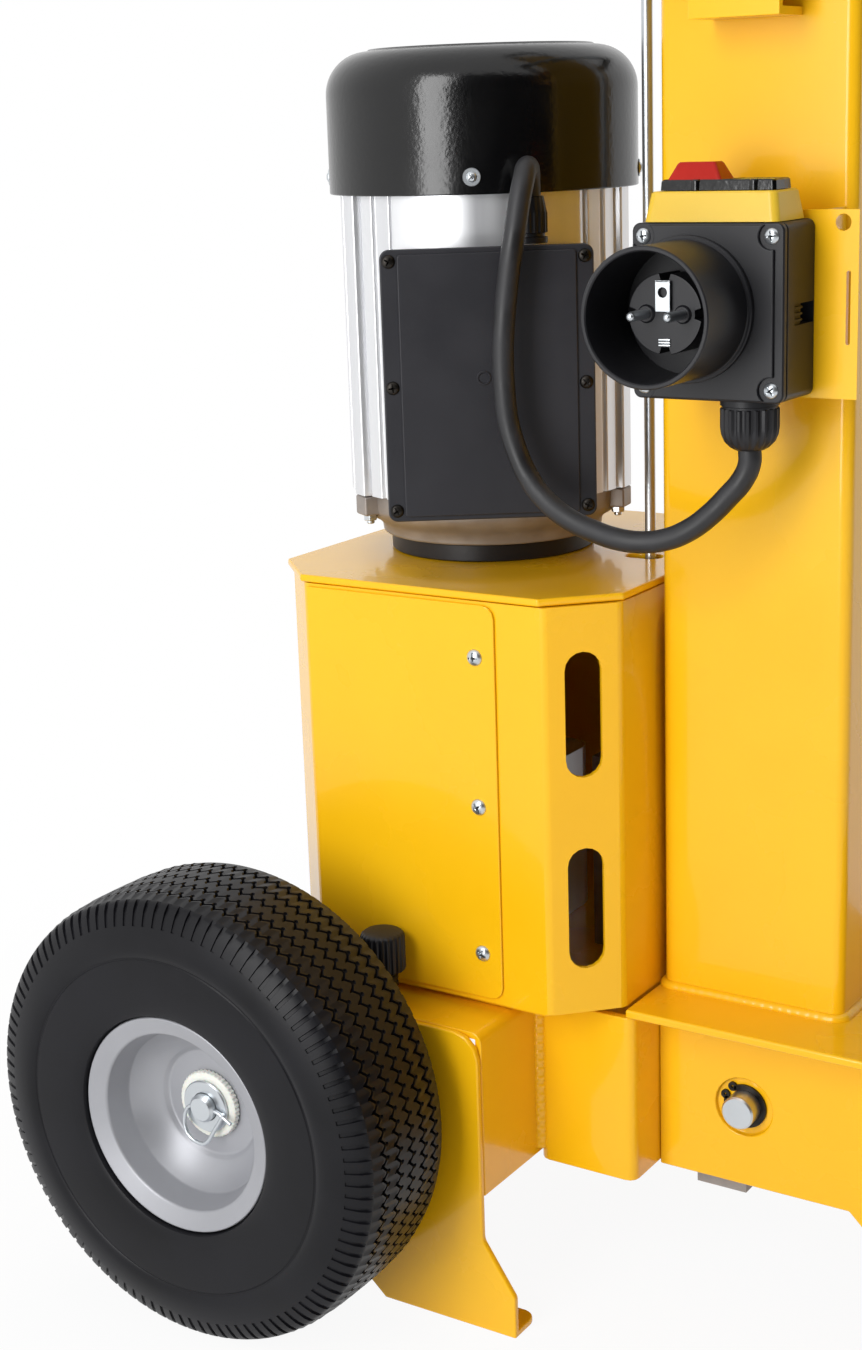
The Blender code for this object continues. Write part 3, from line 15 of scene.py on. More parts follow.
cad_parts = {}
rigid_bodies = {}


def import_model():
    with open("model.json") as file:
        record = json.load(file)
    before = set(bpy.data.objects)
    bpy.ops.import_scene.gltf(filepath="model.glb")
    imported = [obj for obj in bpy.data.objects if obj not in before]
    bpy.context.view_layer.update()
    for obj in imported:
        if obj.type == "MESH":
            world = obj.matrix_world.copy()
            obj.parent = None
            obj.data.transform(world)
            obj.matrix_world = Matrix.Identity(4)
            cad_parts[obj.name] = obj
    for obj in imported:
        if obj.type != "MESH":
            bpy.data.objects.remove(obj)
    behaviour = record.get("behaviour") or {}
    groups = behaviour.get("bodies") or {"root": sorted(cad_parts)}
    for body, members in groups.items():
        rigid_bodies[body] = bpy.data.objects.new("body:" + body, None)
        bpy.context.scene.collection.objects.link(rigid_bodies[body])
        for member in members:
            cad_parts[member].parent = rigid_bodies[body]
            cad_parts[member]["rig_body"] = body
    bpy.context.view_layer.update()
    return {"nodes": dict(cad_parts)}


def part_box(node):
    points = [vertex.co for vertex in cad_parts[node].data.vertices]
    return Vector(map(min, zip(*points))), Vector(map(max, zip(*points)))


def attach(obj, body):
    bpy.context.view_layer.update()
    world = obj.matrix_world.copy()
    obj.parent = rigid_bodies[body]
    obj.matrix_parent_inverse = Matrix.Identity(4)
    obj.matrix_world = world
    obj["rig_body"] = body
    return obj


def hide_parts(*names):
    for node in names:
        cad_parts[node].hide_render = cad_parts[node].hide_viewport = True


for leftover in list(bpy.data.objects):
    bpy.data.objects.remove(leftover)
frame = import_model()
nodes = frame["nodes"]
MM = 0.001
print("CAD nodes:", len(nodes))

# %% [markdown]
# The camera was solved from the straight edges of the housing and the ellipse of the rim.
# It stands at the machine's right, in front, and looks slightly down, with a small roll.

# %% Camera
CAMERA_PLACE = (0.2194, -1.0399, 0.6543)
CAMERA_YAW, CAMERA_PITCH, CAMERA_ROLL = 33.38, 14.76, -1.96
LENS_MM, SENSOR_MM = 56.54, 36


def linked(name, data):
    """A new object in the scene."""
    made = bpy.data.objects.new(name, data)
    bpy.context.scene.collection.objects.link(made)
    return made


def rotation(degrees, axis="Z"):
    return Matrix.Rotation(math.radians(degrees), 4, axis)


camera = linked("photo_camera", bpy.data.cameras.new("photo_camera"))
camera.data.lens = LENS_MM
camera.data.sensor_width = SENSOR_MM
camera.matrix_world = (Matrix.Translation(CAMERA_PLACE) @ rotation(CAMERA_YAW)
                       @ rotation(90 - CAMERA_PITCH, "X") @ rotation(CAMERA_ROLL))
bpy.context.scene.camera = camera
bpy.context.scene.view_settings.view_transform = "Standard"
print("camera at", CAMERA_PLACE)

# %% [markdown]
# One function adds a node to any tree, material or geometry, with its settings and links.
# Colours are written as sRGB hex values and turned to the linear values that shaders use.

# %% Node and colour tools
def add_node(tree, kind, sockets=None, output=0, **settings):
    """One output of a new node, whose sockets are linked, to one or a list, or given a value."""
    made = tree.nodes.new(kind)
    for setting, value in settings.items():
        setattr(made, setting, value)
    for socket, value in (sockets or {}).items():
        sources = value if isinstance(value, list) else [value]
        if isinstance(sources[0], bpy.types.NodeSocket):
            for source in sources:
                tree.links.new(source, made.inputs[socket])
        else:
            made.inputs[socket].default_value = value
    return made.outputs[output] if made.outputs else None


def maths(tree, operation, *values):
    """The result of a Math node on linked or plain values."""
    return add_node(tree, "ShaderNodeMath", dict(enumerate(values)), operation=operation)


def linear(hex_colour):
    """An sRGB hex colour as linear red, green, blue and alpha."""
    channels = [int(hex_colour[k:k + 2], 16) / 255 for k in (1, 3, 5)]
    return (*[c / 12.92 if c <= 0.04045 else ((c + 0.055) / 1.055) ** 2.4 for c in channels], 1)


# %% [markdown]
# Most finishes here share one build: two close tones in soft patches, gloss that varies with
# the patches, and a fine relief. What differs is the size of each in millimetres.
# A stretched pattern gives the drawn lines of an extrusion or a turned face.

# %% The common build of a finish
MIX_FACTOR, MIX_FIRST, MIX_SECOND, MIX_COLOUR = 0, 6, 7, 2
PATCH_DETAIL, GRAIN_DETAIL = 5.0, 2.0
PATCH_RANGE = {"From Min": 0.35, "From Max": 0.65}
finishes = {}


def make_finish(slot, name, tones, patch, gloss, grain, depth, sockets=None, stretch=(1, 1, 1)):
    """A Principled surface for a slot. Sizes of patches, grain and relief depth are in millimetres."""
    material = bpy.data.materials.new(name)
    material.use_nodes = True
    tree = material.node_tree
    shader = tree.nodes["Principled BSDF"]
    for socket, value in (sockets or {}).items():
        shader.inputs[socket].default_value = value
    place = add_node(tree, "ShaderNodeTexCoord", output="Object")
    place = add_node(tree, "ShaderNodeMapping", {"Vector": place, "Scale": stretch})
    patches = add_node(tree, "ShaderNodeTexNoise",
                       {"Vector": place, "Scale": 1 / (patch * MM), "Detail": PATCH_DETAIL})
    spread = {"Value": patches, **PATCH_RANGE}
    share = add_node(tree, "ShaderNodeMapRange", spread)
    tones = {MIX_FACTOR: share, MIX_FIRST: linear(tones[0]), MIX_SECOND: linear(tones[1])}
    tone = add_node(tree, "ShaderNodeMix", tones, MIX_COLOUR, data_type="RGBA")
    sheen = add_node(tree, "ShaderNodeMapRange", {**spread, "To Min": gloss[0], "To Max": gloss[1]})
    relief = add_node(tree, "ShaderNodeTexNoise",
                      {"Vector": place, "Scale": 1 / (grain * MM), "Detail": GRAIN_DETAIL})
    bump = add_node(tree, "ShaderNodeBump", {"Height": relief, "Strength": 1.0, "Distance": depth * MM})
    for socket, result in (("Base Color", tone), ("Roughness", sheen), ("Normal", bump)):
        tree.links.new(result, shader.inputs[socket])
    finishes[slot] = material


# %% [markdown]
# The steel is sprayed with powder and baked. Powder flows into a gloss film with an
# orange-peel relief of one to two millimetres.

# %% Powder coats
make_finish(
    "yellow_paint", "yellow_powder_coat", ("#F8BC10", "#FAC014"), 90, (0.22, 0.3), 2.2, 0.015,
    {"IOR": 1.45, "Specular IOR Level": 0.3, "Coat Weight": 0.4, "Coat Roughness": 0.05})
make_finish(
    "black_paint", "black_hammered_coat", ("#060607", "#09090A"), 40, (0.15, 0.22), 2.4, 0.11,
    {"IOR": 1.5, "Specular IOR Level": 0.52})
make_finish(
    "silver_paint", "silver_wheel_lacquer", ("#9FA0A5", "#A4A5AA"), 40, (0.38, 0.44), 1.6, 0.006,
    {"Metallic": 0.35, "IOR": 1.5})
print("powder coats:", len(finishes))

# %% [markdown]
# Bare metals: zinc-plated fasteners and rods, oil-blackened circlips, the extruded aluminium
# of the stator with lines along its length, and sand-cast shields.

# %% Metals
make_finish(
    "bare_steel", "zinc_plated_steel", ("#C9CED2", "#CED3D7"), 24, (0.28, 0.32), 0.9, 0.003,
    {"Metallic": 0.9})
make_finish(
    "dark_steel", "blackened_steel", ("#2B2927", "#3D3A37"), 5, (0.34, 0.5), 0.9, 0.015, {"Metallic": 1.0})
make_finish(
    "aluminium", "extruded_aluminium", ("#DEDFE2", "#E8E9EB"), 14, (0.3, 0.38), 1.2, 0.006,
    {"Metallic": 0.75}, (1, 1, 0.02))
make_finish(
    "cast_grey", "sand_cast_aluminium", ("#948D88", "#A39C97"), 12, (0.46, 0.58), 1.5, 0.05,
    {"Metallic": 0.5})
print("coats and metals:", len(finishes))

# %% [markdown]
# Moulded plastics carry the grain of the tool. Black ABS has a fine spark-eroded grain,
# the switch keys are smooth and a little translucent, and the wheel bush is nylon.

# %% Plastics and rubbers
ABS = {"IOR": 1.53, "Specular IOR Level": 0.36}
RUBBER = {"IOR": 1.52}
make_finish(
    "black_plastic", "black_moulded_abs", ("#17171B", "#1B1B1F"), 40, (0.4, 0.48), 1.1, 0.025, ABS)
# The terminal lid is the same black ABS with lighter tones: a painted sheen for the light the lid catches,
# not a different plastic.
make_finish(
    "lid_painted_sheen", "black_abs_painted_sheen", ("#232328", "#28282D"), 40, (0.4, 0.48), 1.1, 0.025, ABS)
make_finish(
    "yellow_plastic", "yellow_moulded_abs", ("#E2BA2E", "#E6BF34"), 40, (0.32, 0.4), 1.2, 0.008,
    {"IOR": 1.5, "Subsurface Weight": 0.05, "Subsurface Scale": 0.002})
make_finish(
    "red_plastic", "red_polycarbonate", ("#A8180C", "#B41E10"), 20, (0.14, 0.22), 2.0, 0.004,
    {"IOR": 1.45, "Specular IOR Level": 0.3, "Subsurface Weight": 0.05, "Subsurface Scale": 0.003})
make_finish(
    "green_plastic", "green_polycarbonate", ("#12602C", "#1A7A3A"), 20, (0.16, 0.26), 2.0, 0.008,
    {"IOR": 1.58, "Subsurface Weight": 0.2, "Subsurface Scale": 0.003})
make_finish(
    "cream_nylon", "natural_nylon", ("#DFE0D6", "#E8E8E0"), 20, (0.36, 0.46), 1.4, 0.01,
    {"IOR": 1.53, "Subsurface Weight": 0.15, "Subsurface Scale": 0.002})
make_finish(
    "tyre_rubber", "tyre_rubber", ("#131316", "#17171B"), 45, (0.34, 0.42), 1.1, 0.012,
    {**RUBBER, "Specular IOR Level": 0.18})
make_finish(
    "cable_rubber", "cable_sheath_rubber", ("#19191B", "#242427"), 14, (0.42, 0.58), 1.2, 0.03, RUBBER)
make_finish(
    "grip_rubber", "grip_rubber", ("#19191A", "#232325"), 16, (0.6, 0.75), 1.2, 0.05, RUBBER)
print("finishes:", len(finishes))

# %% [markdown]
# The motor cable is the only cord. It leaves the gland on the terminal box, bends down over the
# lid, sags in one loop and rises into the gland under the switch. The photograph shows it from
# end to end, so its length is that of the route.

# %% Motor cable
CABLE_DIAMETER = 0.0115
CABLE_ROUNDNESS, CURVE_STEPS = 6, 6
CABLE_ROUTE = [
    (-351.1, -65.5, 612.6), (-351.1, -65.5, 619.0), (-349.0, -69.4, 626.0),
    (-346.5, -76.0, 627.0), (-344.8, -82.0, 621.5), (-344.6, -87.0, 611.0),
    (-345.5, -90.5, 596.8), (-347.3, -93.0, 581.0), (-348.5, -94.9, 566.9),
    (-349.4, -96.8, 551.5), (-349.8, -98.1, 536.6), (-349.2, -98.8, 518.0),
    (-347.4, -98.9, 500.6), (-342.5, -98.5, 484.0), (-335.3, -98.1, 469.8),
    (-324.0, -99.2, 458.5), (-310.3, -101.0, 451.0), (-295.5, -102.3, 446.3),
    (-280.3, -103.0, 443.3), (-267.5, -102.8, 443.0), (-255.3, -102.0, 445.1),
    (-243.0, -101.2, 450.5), (-231.5, -100.0, 459.2), (-222.5, -98.8, 468.5),
    (-215.2, -97.6, 477.3), (-211.7, -97.0, 485.6), (-211.7, -97.0, 492.2),
]


def smooth_curve(name, points, radius, roundness):
    """A round curve through points, all in metres."""
    curve = bpy.data.curves.new(name, "CURVE")
    curve.dimensions = "3D"
    curve.bevel_depth = radius
    curve.bevel_resolution = roundness
    curve.resolution_u = CURVE_STEPS
    curve.use_fill_caps = True
    spline = curve.splines.new("BEZIER")
    spline.bezier_points.add(len(points) - 1)
    for bead, place in zip(spline.bezier_points, points):
        bead.co = place
        bead.handle_left_type = "AUTO"
        bead.handle_right_type = "AUTO"
    return linked(name, curve)


route = [Vector(point) * MM for point in CABLE_ROUTE]
cable = smooth_curve("motor_cable_sheath", route, CABLE_DIAMETER / 2, CABLE_ROUNDNESS)
cable.data.materials.append(finishes["cable_rubber"])
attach(cable, "machine_frame")
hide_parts("motor_cable")

# %% [markdown]
# Shapes are made in millimetres as bmesh data and turned to metres when a piece is added.
# First come outlines and profiles, which are lists of points.

# %% Outline tools
PLACES = {
    "X": lambda a, b, height: (height, a, b),
    "Y": lambda a, b, height: (a, height, b),
    "Z": lambda a, b, height: (a, b, height),
}


def box_mm(node):
    """Lowest and highest corner of a CAD node, in millimetres."""
    low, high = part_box(node)
    return low / MM, high / MM


def middle_mm(node):
    """Middle of a CAD node's box, in millimetres."""
    return [(a + b) / 2 for a, b in zip(*box_mm(node))]


def polar(a, b, radius, turn):
    return (a + radius * math.cos(turn), b + radius * math.sin(turn))


def circle(a, b, radius, count):
    return [polar(a, b, radius, 2 * math.pi * k / count) for k in range(count)]


def arc(a, b, radius, first, last, steps=6):
    """Points of an arc, angles in degrees. In a turned profile they are (radius, height)."""
    return [polar(a, b, radius, math.radians(first + (last - first) * k / steps)) for k in range(steps + 1)]


def rounded(corners, steps=6):
    """An outline from corners (x, y, radius), each turned as an arc."""
    outline = []
    for index, (x, y, radius) in enumerate(corners):
        if radius == 0:
            outline.append((x, y))
            continue
        here = Vector((x, y))
        back = (Vector(corners[index - 1][:2]) - here).normalized()
        ahead = (Vector(corners[(index + 1) % len(corners)][:2]) - here).normalized()
        half = back.angle(ahead) / 2
        centre = here + (back + ahead).normalized() * radius / math.sin(half)
        start = here + back * radius / math.tan(half) - centre
        end = here + ahead * radius / math.tan(half) - centre
        first = math.atan2(start.y, start.x)
        sweep = math.remainder(math.atan2(end.y, end.x) - first, 2 * math.pi)
        outline += [polar(*centre, radius, first + sweep * k / steps) for k in range(steps + 1)]
    return outline


def rectangle(x0, x1, y0, y1, radius=0, steps=6):
    """A rectangle whose corners have one radius."""
    return rounded([(x0, y0, radius), (x1, y0, radius), (x1, y1, radius), (x0, y1, radius)], steps)


def bar_profile(radius, low, high, chamfer, bore=0):
    """The profile of a round bar or ring with chamfered ends."""
    return [(bore, low), (radius - chamfer, low), (radius, low + chamfer), (radius, high - chamfer),
            (radius - chamfer, high), (bore, high)]


def turned_to(place, aim):
    """A matrix that sets a thing at a place and points its Z axis along an aim."""
    return Matrix.Translation(place) @ aim.to_track_quat("Z", "Y").to_matrix().to_4x4()


print("outline tools ready")

# %% [markdown]
# These few tools are enough for sheet metal, turned parts and moulded boxes: a prism, a skin over
# rings, a turned and a ribbed shape, rounded edges and a cut.

# %% Mesh tools
SHARP, FLAT = math.radians(35), math.radians(1)
LONG_BEND, BEND_SEGMENTS, WIDE_FACE = 60.0, 6, 2500.0
SAME_PLACE = 0.002


def merge_flat(shape):
    """Makes flat faces whole again."""
    bmesh.ops.dissolve_limit(shape, angle_limit=FLAT, verts=shape.verts[:], edges=shape.edges[:])


def prism(outline, low, high, axis="Z", holes=()):
    """A flat outline, with holes, extruded along an axis."""
    shape = bmesh.new()
    edges = []
    for loop in (outline, *holes):
        corners = [shape.verts.new(PLACES[axis](a, b, low)) for a, b in loop]
        edges += [shape.edges.new((corners[k - 1], corners[k])) for k in range(len(corners))]
    bmesh.ops.triangle_fill(shape, use_beauty=True, edges=edges)
    grown = bmesh.ops.extrude_face_region(shape, geom=shape.faces[:])
    raised = [item for item in grown["geom"] if isinstance(item, bmesh.types.BMVert)]
    bmesh.ops.translate(shape, verts=raised, vec=Vector(PLACES[axis](0, 0, high - low)))
    bmesh.ops.recalc_face_normals(shape, faces=shape.faces[:])
    merge_flat(shape)
    return shape


def skin(rings, closed=False):
    """Faces between rings of points; a ring of one point closes to a pole."""
    shape = bmesh.new()
    made = [[shape.verts.new(point) for point in ring] for ring in rings]
    count = max(len(ring) for ring in rings)
    for low, high in zip(made, made[1:] + (made[:1] if closed else [])):
        for k in range(count):
            near = (low[k % len(low)], low[(k + 1) % len(low)])
            far = (high[(k + 1) % len(high)], high[k % len(high)])
            shape.faces.new(dict.fromkeys(near + far))
    bmesh.ops.recalc_face_normals(shape, faces=shape.faces[:])
    return shape


def turned(profile, a, b, axis="Z", count=64, closed=False):
    """A profile of (radius, height) points turned about an axis through (a, b)."""
    rings = []
    for radius, height in profile:
        spots = circle(a, b, radius, count) if radius else [(a, b)]
        rings.append([PLACES[axis](p, q, height) for p, q in spots])
    return skin(rings, closed)


def ribbed(profile, a, b, ribs, axis="Z"):
    """A turned shape whose points (radius, height, depth) are cut into ribs by depth."""
    rings = []
    for radius, height, depth in profile:
        spots = [(a, b)]
        if radius:
            spots = [polar(a, b, radius - (depth if k % 4 in (2, 3) else 0), 2 * math.pi * k / (ribs * 4))
                     for k in range(ribs * 4)]
        rings.append([PLACES[axis](p, q, height) for p, q in spots])
    return skin(rings)


def is_sharp(edge):
    return len(edge.link_faces) == 2 and edge.calc_face_angle(0) > SHARP


def bevel(shape, edges, radius, segments):
    bmesh.ops.bevel(shape, geom=edges, offset=radius, offset_type="OFFSET", segments=segments,
                    profile=0.5, affect="EDGES", clamp_overlap=True)
    return shape


def round_edges(shape, radius, segments=3):
    """Rounds every edge where two faces meet at a sharp angle."""
    return bevel(shape, [edge for edge in shape.edges if is_sharp(edge)], radius, segments)


def block(x0, x1, y0, y1, z0, z1):
    return prism(rectangle(x0, x1, y0, y1), z0, z1)


def joined(shapes):
    """Several shapes in one mesh."""
    whole = bmesh.new()
    keep = bpy.data.meshes.new("joined")
    for shape in shapes:
        shape.to_mesh(keep)
        shape.free()
        whole.from_mesh(keep)
    bpy.data.meshes.remove(keep)
    return whole


def baked(holder):
    """The evaluated mesh of an object, which is then removed."""
    mesh = bpy.data.meshes.new_from_object(holder.evaluated_get(bpy.context.evaluated_depsgraph_get()))
    bpy.data.objects.remove(holder)
    return mesh


def cut_away(shape, cutter):
    """A shape with a cutter taken out of it, both in millimetres."""
    holders = []
    for label, part in (("kept", shape), ("cutter", cutter)):
        mesh = bpy.data.meshes.new(label)
        part.to_mesh(mesh)
        part.free()
        holders.append(linked(label, mesh))
    boolean = holders[0].modifiers.new("Cut", "BOOLEAN")
    boolean.operation = "DIFFERENCE"
    boolean.object = holders[1]
    boolean.solver = "EXACT"
    result = baked(holders[0])
    bpy.data.objects.remove(holders[1])
    made = bmesh.new()
    made.from_mesh(result)
    bpy.data.meshes.remove(result)
    return made


def place_piece(name, mesh, smooth=None, stands_for=()):
    """A mesh as a smooth piece on its body, sharp over an angle, in place of CAD nodes."""
    mesh.name = name
    mesh.polygons.foreach_set("use_smooth", [True] * len(mesh.polygons))
    if smooth:
        mesh.set_sharp_from_angle(angle=math.radians(smooth))
    made = linked(name, mesh)
    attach(made, nodes[stands_for[0]]["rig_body"] if stands_for else "machine_frame")
    if stands_for:
        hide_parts(*stands_for)
    return made


def add_piece(name, shape, slot, *stands_for, smooth=38):
    """A shape in millimetres as a finished piece."""
    bmesh.ops.scale(shape, vec=Vector((MM, MM, MM)), verts=shape.verts[:])
    mesh = bpy.data.meshes.new(name)
    shape.to_mesh(mesh)
    shape.free()
    mesh.materials.append(finishes[slot])
    made = place_piece(name, mesh, smooth, stands_for)
    even = made.modifiers.new("Even shading", "WEIGHTED_NORMAL")
    even.keep_sharp = True
    return made


def soften(node, slot, radius, bend=0, cutter=None):
    """A piece that is its CAD node with rounded edges. Upright outer bends have their own radius."""
    shape = bmesh.new()
    shape.from_mesh(nodes[node].data)
    bmesh.ops.scale(shape, vec=Vector((1, 1, 1)) / MM, verts=shape.verts[:])
    bmesh.ops.remove_doubles(shape, verts=shape.verts[:], dist=SAME_PLACE)
    merge_flat(shape)
    if cutter:
        shape = cut_away(shape, cutter)
    if bend:
        upright = [edge for edge in shape.edges
                   if is_sharp(edge) and edge.is_convex and edge.calc_length() > LONG_BEND
                   and abs(edge.verts[0].co.z - edge.verts[1].co.z) > 0.99 * edge.calc_length()
                   and all(face.calc_area() > WIDE_FACE for face in edge.link_faces)]
        bevel(shape, upright, bend, BEND_SEGMENTS)
    add_piece(f"{node}_finished", round_edges(shape, radius), slot, node)


print("mesh tools ready")

# %% [markdown]
# Sheet and plate pieces have the right shape already. The real ones are laser-cut or bent,
# then tumbled and painted, so their edges are slightly round and catch the light.
# Cutters round the corners of the wheel plates' soles and cut the slit of the switch bracket.

# %% Sheet pieces
SHEET_EDGES = {
    "base_plate": 1.4, "base_cheek_right": 1.0, "base_cheek_left": 1.0, "front_foot": 1.4,
    "chassis_box": 1.2, "axle_beam": 0.8, "wheel_plate_right": 1.2, "wheel_plate_left": 1.2,
    "column": 1.0, "pump_house": 0.7, "pump_house_door": 0.5, "pump_house_lid": 1.2,
    "switch_bracket": 0.8, "lever_bracket_right": 1.0, "lever_bracket_left": 1.0, "ram_head": 2.0,
}
OTHER_EDGES = {
    "control_lever_right": ("black_paint", 1.2), "control_lever_left": ("black_paint", 1.2),
    "splitting_wedge": ("bare_steel", 0.6), "terminal_box": ("black_plastic", 1.0),
    "start_button": ("green_plastic", 0.4),
}
BENDS = {"chassis_box": 6.0, "pump_house": 2.6}
SOLE_CORNER, SOLE_HEIGHT = 8.0, 20.0
SLIT_HALF, SLIT_LENGTH, SLIT_CORNER, SLIT_INSET, SLIT_RISE = 1.1, 35.0, 0.9, 5.0, 26.0
cutters = {}
for side, inward in (("right", 1), ("left", -1)):
    low, high = box_mm(f"wheel_plate_{side}")
    edge = high.y if inward > 0 else low.y
    corners = []
    for end, outward in ((low.x, -1), (high.x, 1)):
        middle_x, middle_y = end - outward * SOLE_CORNER, edge - inward * SOLE_CORNER
        outline = [(end + outward, middle_y)]
        outline += [(middle_x + outward * a, middle_y + inward * b)
                    for a, b in arc(0, 0, SOLE_CORNER, 0, 90, 8)]
        outline += [(middle_x, edge + inward), (end + outward, edge + inward)]
        corners.append(prism(outline, -1, SOLE_HEIGHT))
    cutters[f"wheel_plate_{side}"] = joined(corners)
low, high = box_mm("switch_bracket")
slit_x, slit_low = high.x - SLIT_INSET, low.z + SLIT_RISE
slit = rectangle(slit_x - SLIT_HALF, slit_x + SLIT_HALF, slit_low, slit_low + SLIT_LENGTH, SLIT_CORNER)
cutters["switch_bracket"] = prism(slit, low.y - 2, low.y + 6, "Y")
for node, radius in SHEET_EDGES.items():
    soften(node, "yellow_paint", radius, BENDS.get(node, 0), cutters.get(node))
for node, (slot, radius) in OTHER_EDGES.items():
    soften(node, slot, radius)
print("softened pieces:", len(SHEET_EDGES) + len(OTHER_EDGES))

# %% [markdown]
# The tyre is foam-filled and has a road tread: ribs between zigzag grooves, with a short cut at
# each bend, and a row of slots on the shoulder. A texture would look flat at this distance, so the
# tread is modelled. One pitch has nine lines around the tyre: the grooves swing with the pitch,
# and the slots and the cuts fall between two lines, so every wall lies on a line of the mesh.

# %% Tyres
TREAD_PITCHES = 108
PITCH_LINES = (0.0, 0.16, 0.30, 0.34, 0.41, 0.62, 0.66, 0.80, 0.90)
PLAIN, SLOT, SIPE_LEFT, SIPE_RIGHT = range(4)
SLOT_FROM, SLOT_TO, SLOT_DEPTH = 0.32, 0.64, 2.2
GROOVES = (23.0, 11.5, 0.0, -11.5, -23.0)
GROOVE_HALF, GROOVE_FLOOR, GROOVE_DEPTH, GROOVE_SWING = 1.1, 0.7, 3.4, 2.0
SWING_START = 0.35
SIPE_LINES = {SIPE_LEFT: (0.80, 0.90), SIPE_RIGHT: (0.34, 0.41)}
SIPE_DEPTH, SIPE_END, SIPE_WALL = 1.2, GROOVE_HALF + 1.6, 0.2
GROOVE_SECTION = [
    (SIPE_END, 0, PLAIN), (SIPE_END - SIPE_WALL, 0, SIPE_LEFT), (GROOVE_HALF, 0, SIPE_LEFT),
    (GROOVE_FLOOR, GROOVE_DEPTH, PLAIN), (-GROOVE_FLOOR, GROOVE_DEPTH, PLAIN),
    (-GROOVE_HALF, 0, SIPE_RIGHT), (SIPE_WALL - SIPE_END, 0, SIPE_RIGHT), (-SIPE_END, 0, PLAIN),
]
TREAD_HALF, CROWN_HALF, CROWN_RADIUS, CROWN_DROP = 31.4, 31.0, 129.4, 2.2
SIDEWALL = [
    (54.6, 33.0), (62.6, 33.0), (62.9, 37.8), (63.6, 39.2), (66.0, 40.3), (72.0, 41.2), (82.0, 41.8),
    (93.0, 41.6), (95.6, 41.4), (96.2, 40.9), (97.0, 40.9), (97.6, 41.5), (100.5, 42.2), (104.0, 42.2),
    (108.0, 41.7), (112.0, 40.8), (114.6, 40.0),
]
SHOULDER = [(115.2, 39.8), (119.0, 38.4), (123.0, 36.6), (125.6, 34.6), (126.4, 33.6)]
SHOULDER_EDGE = (127.0, 32.4)


def tread_radius(across):
    """The crown of the tread falls away towards the shoulders."""
    return CROWN_RADIUS - CROWN_DROP * (abs(across) / CROWN_HALF) ** 3


def cut_depth(cut, line):
    """How deep the slot or the short cut is at one line of the pitch."""
    if cut == SLOT and SLOT_FROM < line < SLOT_TO:
        return SLOT_DEPTH
    return SIPE_DEPTH if line in SIPE_LINES.get(cut, ()) else 0.0


wall = [(*point, PLAIN, 0.0) for point in SIDEWALL]
wall += [(*point, SLOT, 0.0) for point in SHOULDER]
wall += [(*SHOULDER_EDGE, PLAIN, 0.0), (tread_radius(TREAD_HALF), TREAD_HALF, PLAIN, 0.0)]
section = list(wall)
for middle in GROOVES:
    section += [(tread_radius(middle) - depth, middle + across, cut, GROOVE_SWING)
                for across, depth, cut in GROOVE_SECTION]
section += [(radius, -across, cut, swing) for radius, across, cut, swing in wall[::-1]]
for side in ("right", "left"):
    hub_x, hub_y, hub_z = middle_mm(f"tyre_{side}")
    rings = []
    for radius, across, cut, swing in section:
        ring = []
        for pitch in range(TREAD_PITCHES):
            for line in PITCH_LINES:
                turn = 2 * math.pi * (pitch + line) / TREAD_PITCHES
                zigzag = 4 * abs(math.remainder(line - SWING_START, 1.0)) - 1
                x, z = polar(hub_x, hub_z, radius - cut_depth(cut, line), turn)
                ring.append((x, hub_y + across + swing * zigzag, z))
        rings.append(ring)
    add_piece(f"treaded_tyre_{side}", skin(rings, closed=True), "tyre_rubber", f"tyre_{side}", smooth=32)
print("tyre section lines:", len(section))

# %% [markdown]
# The rim is pressed from sheet: a sloping flange, a rounded step, a steep wall, a shallow bowl and
# a flat disc. The arcs where these meet carry the highlights, so each is drawn with several points.
# A nylon bush with a toothed flange sits on the disc, then a washer and a clip through the axle.

# %% Rims, bushes and axle
WASHER_THICK, WASHER_RADIUS, WASHER_BORE = 2.0, 15.0, 8.4
AXLE_RADIUS, AXLE_CHAMFER = 8.0, 1.5
BUSH_TEETH, BUSH_FLANGE = 44, 4.8
RIM_HALF, HUB_IN = 37.9, -38.0


def rim_profile(half, web):
    """The rim's section from the bore's outer end, over the flange, to the bore's inner end."""
    front = [(12.3, web - 0.5), (12.8, web)]
    front += arc(29.8, web + 2.5, 2.5, -90, -46, 5)
    front += arc(34.4, web + 0.6, 2.0, 134, 120, 3)
    front += arc(11.9, web + 39.2, 42.6, -59, -35, 10)
    front += arc(42.7, web + 17.6, 5.0, -33, -16, 4)
    front += arc(53.2, half - 5.8, 2.4, 164, 112, 7)
    front += arc(61.0, half - 1.4, 1.0, 105, 0, 5) + [(62.0, half - 4.2), (54.0, half - 4.4)]
    back = [(54.0, 4.4 - half), (62.0, 4.2 - half), (62.0, 1.2 - half), (60.8, -half), (53.4, -half)]
    back += [(51.2, 2.4 - half), (51.2, web + 14.0), (48.5, web + 11.6), (41.5, web + 5.2)]
    back += [(34.5, web - 0.2), (31.0, web - 2.5), (17.0, web - 2.5), (17.0, HUB_IN), (12.3, HUB_IN)]
    return front + back


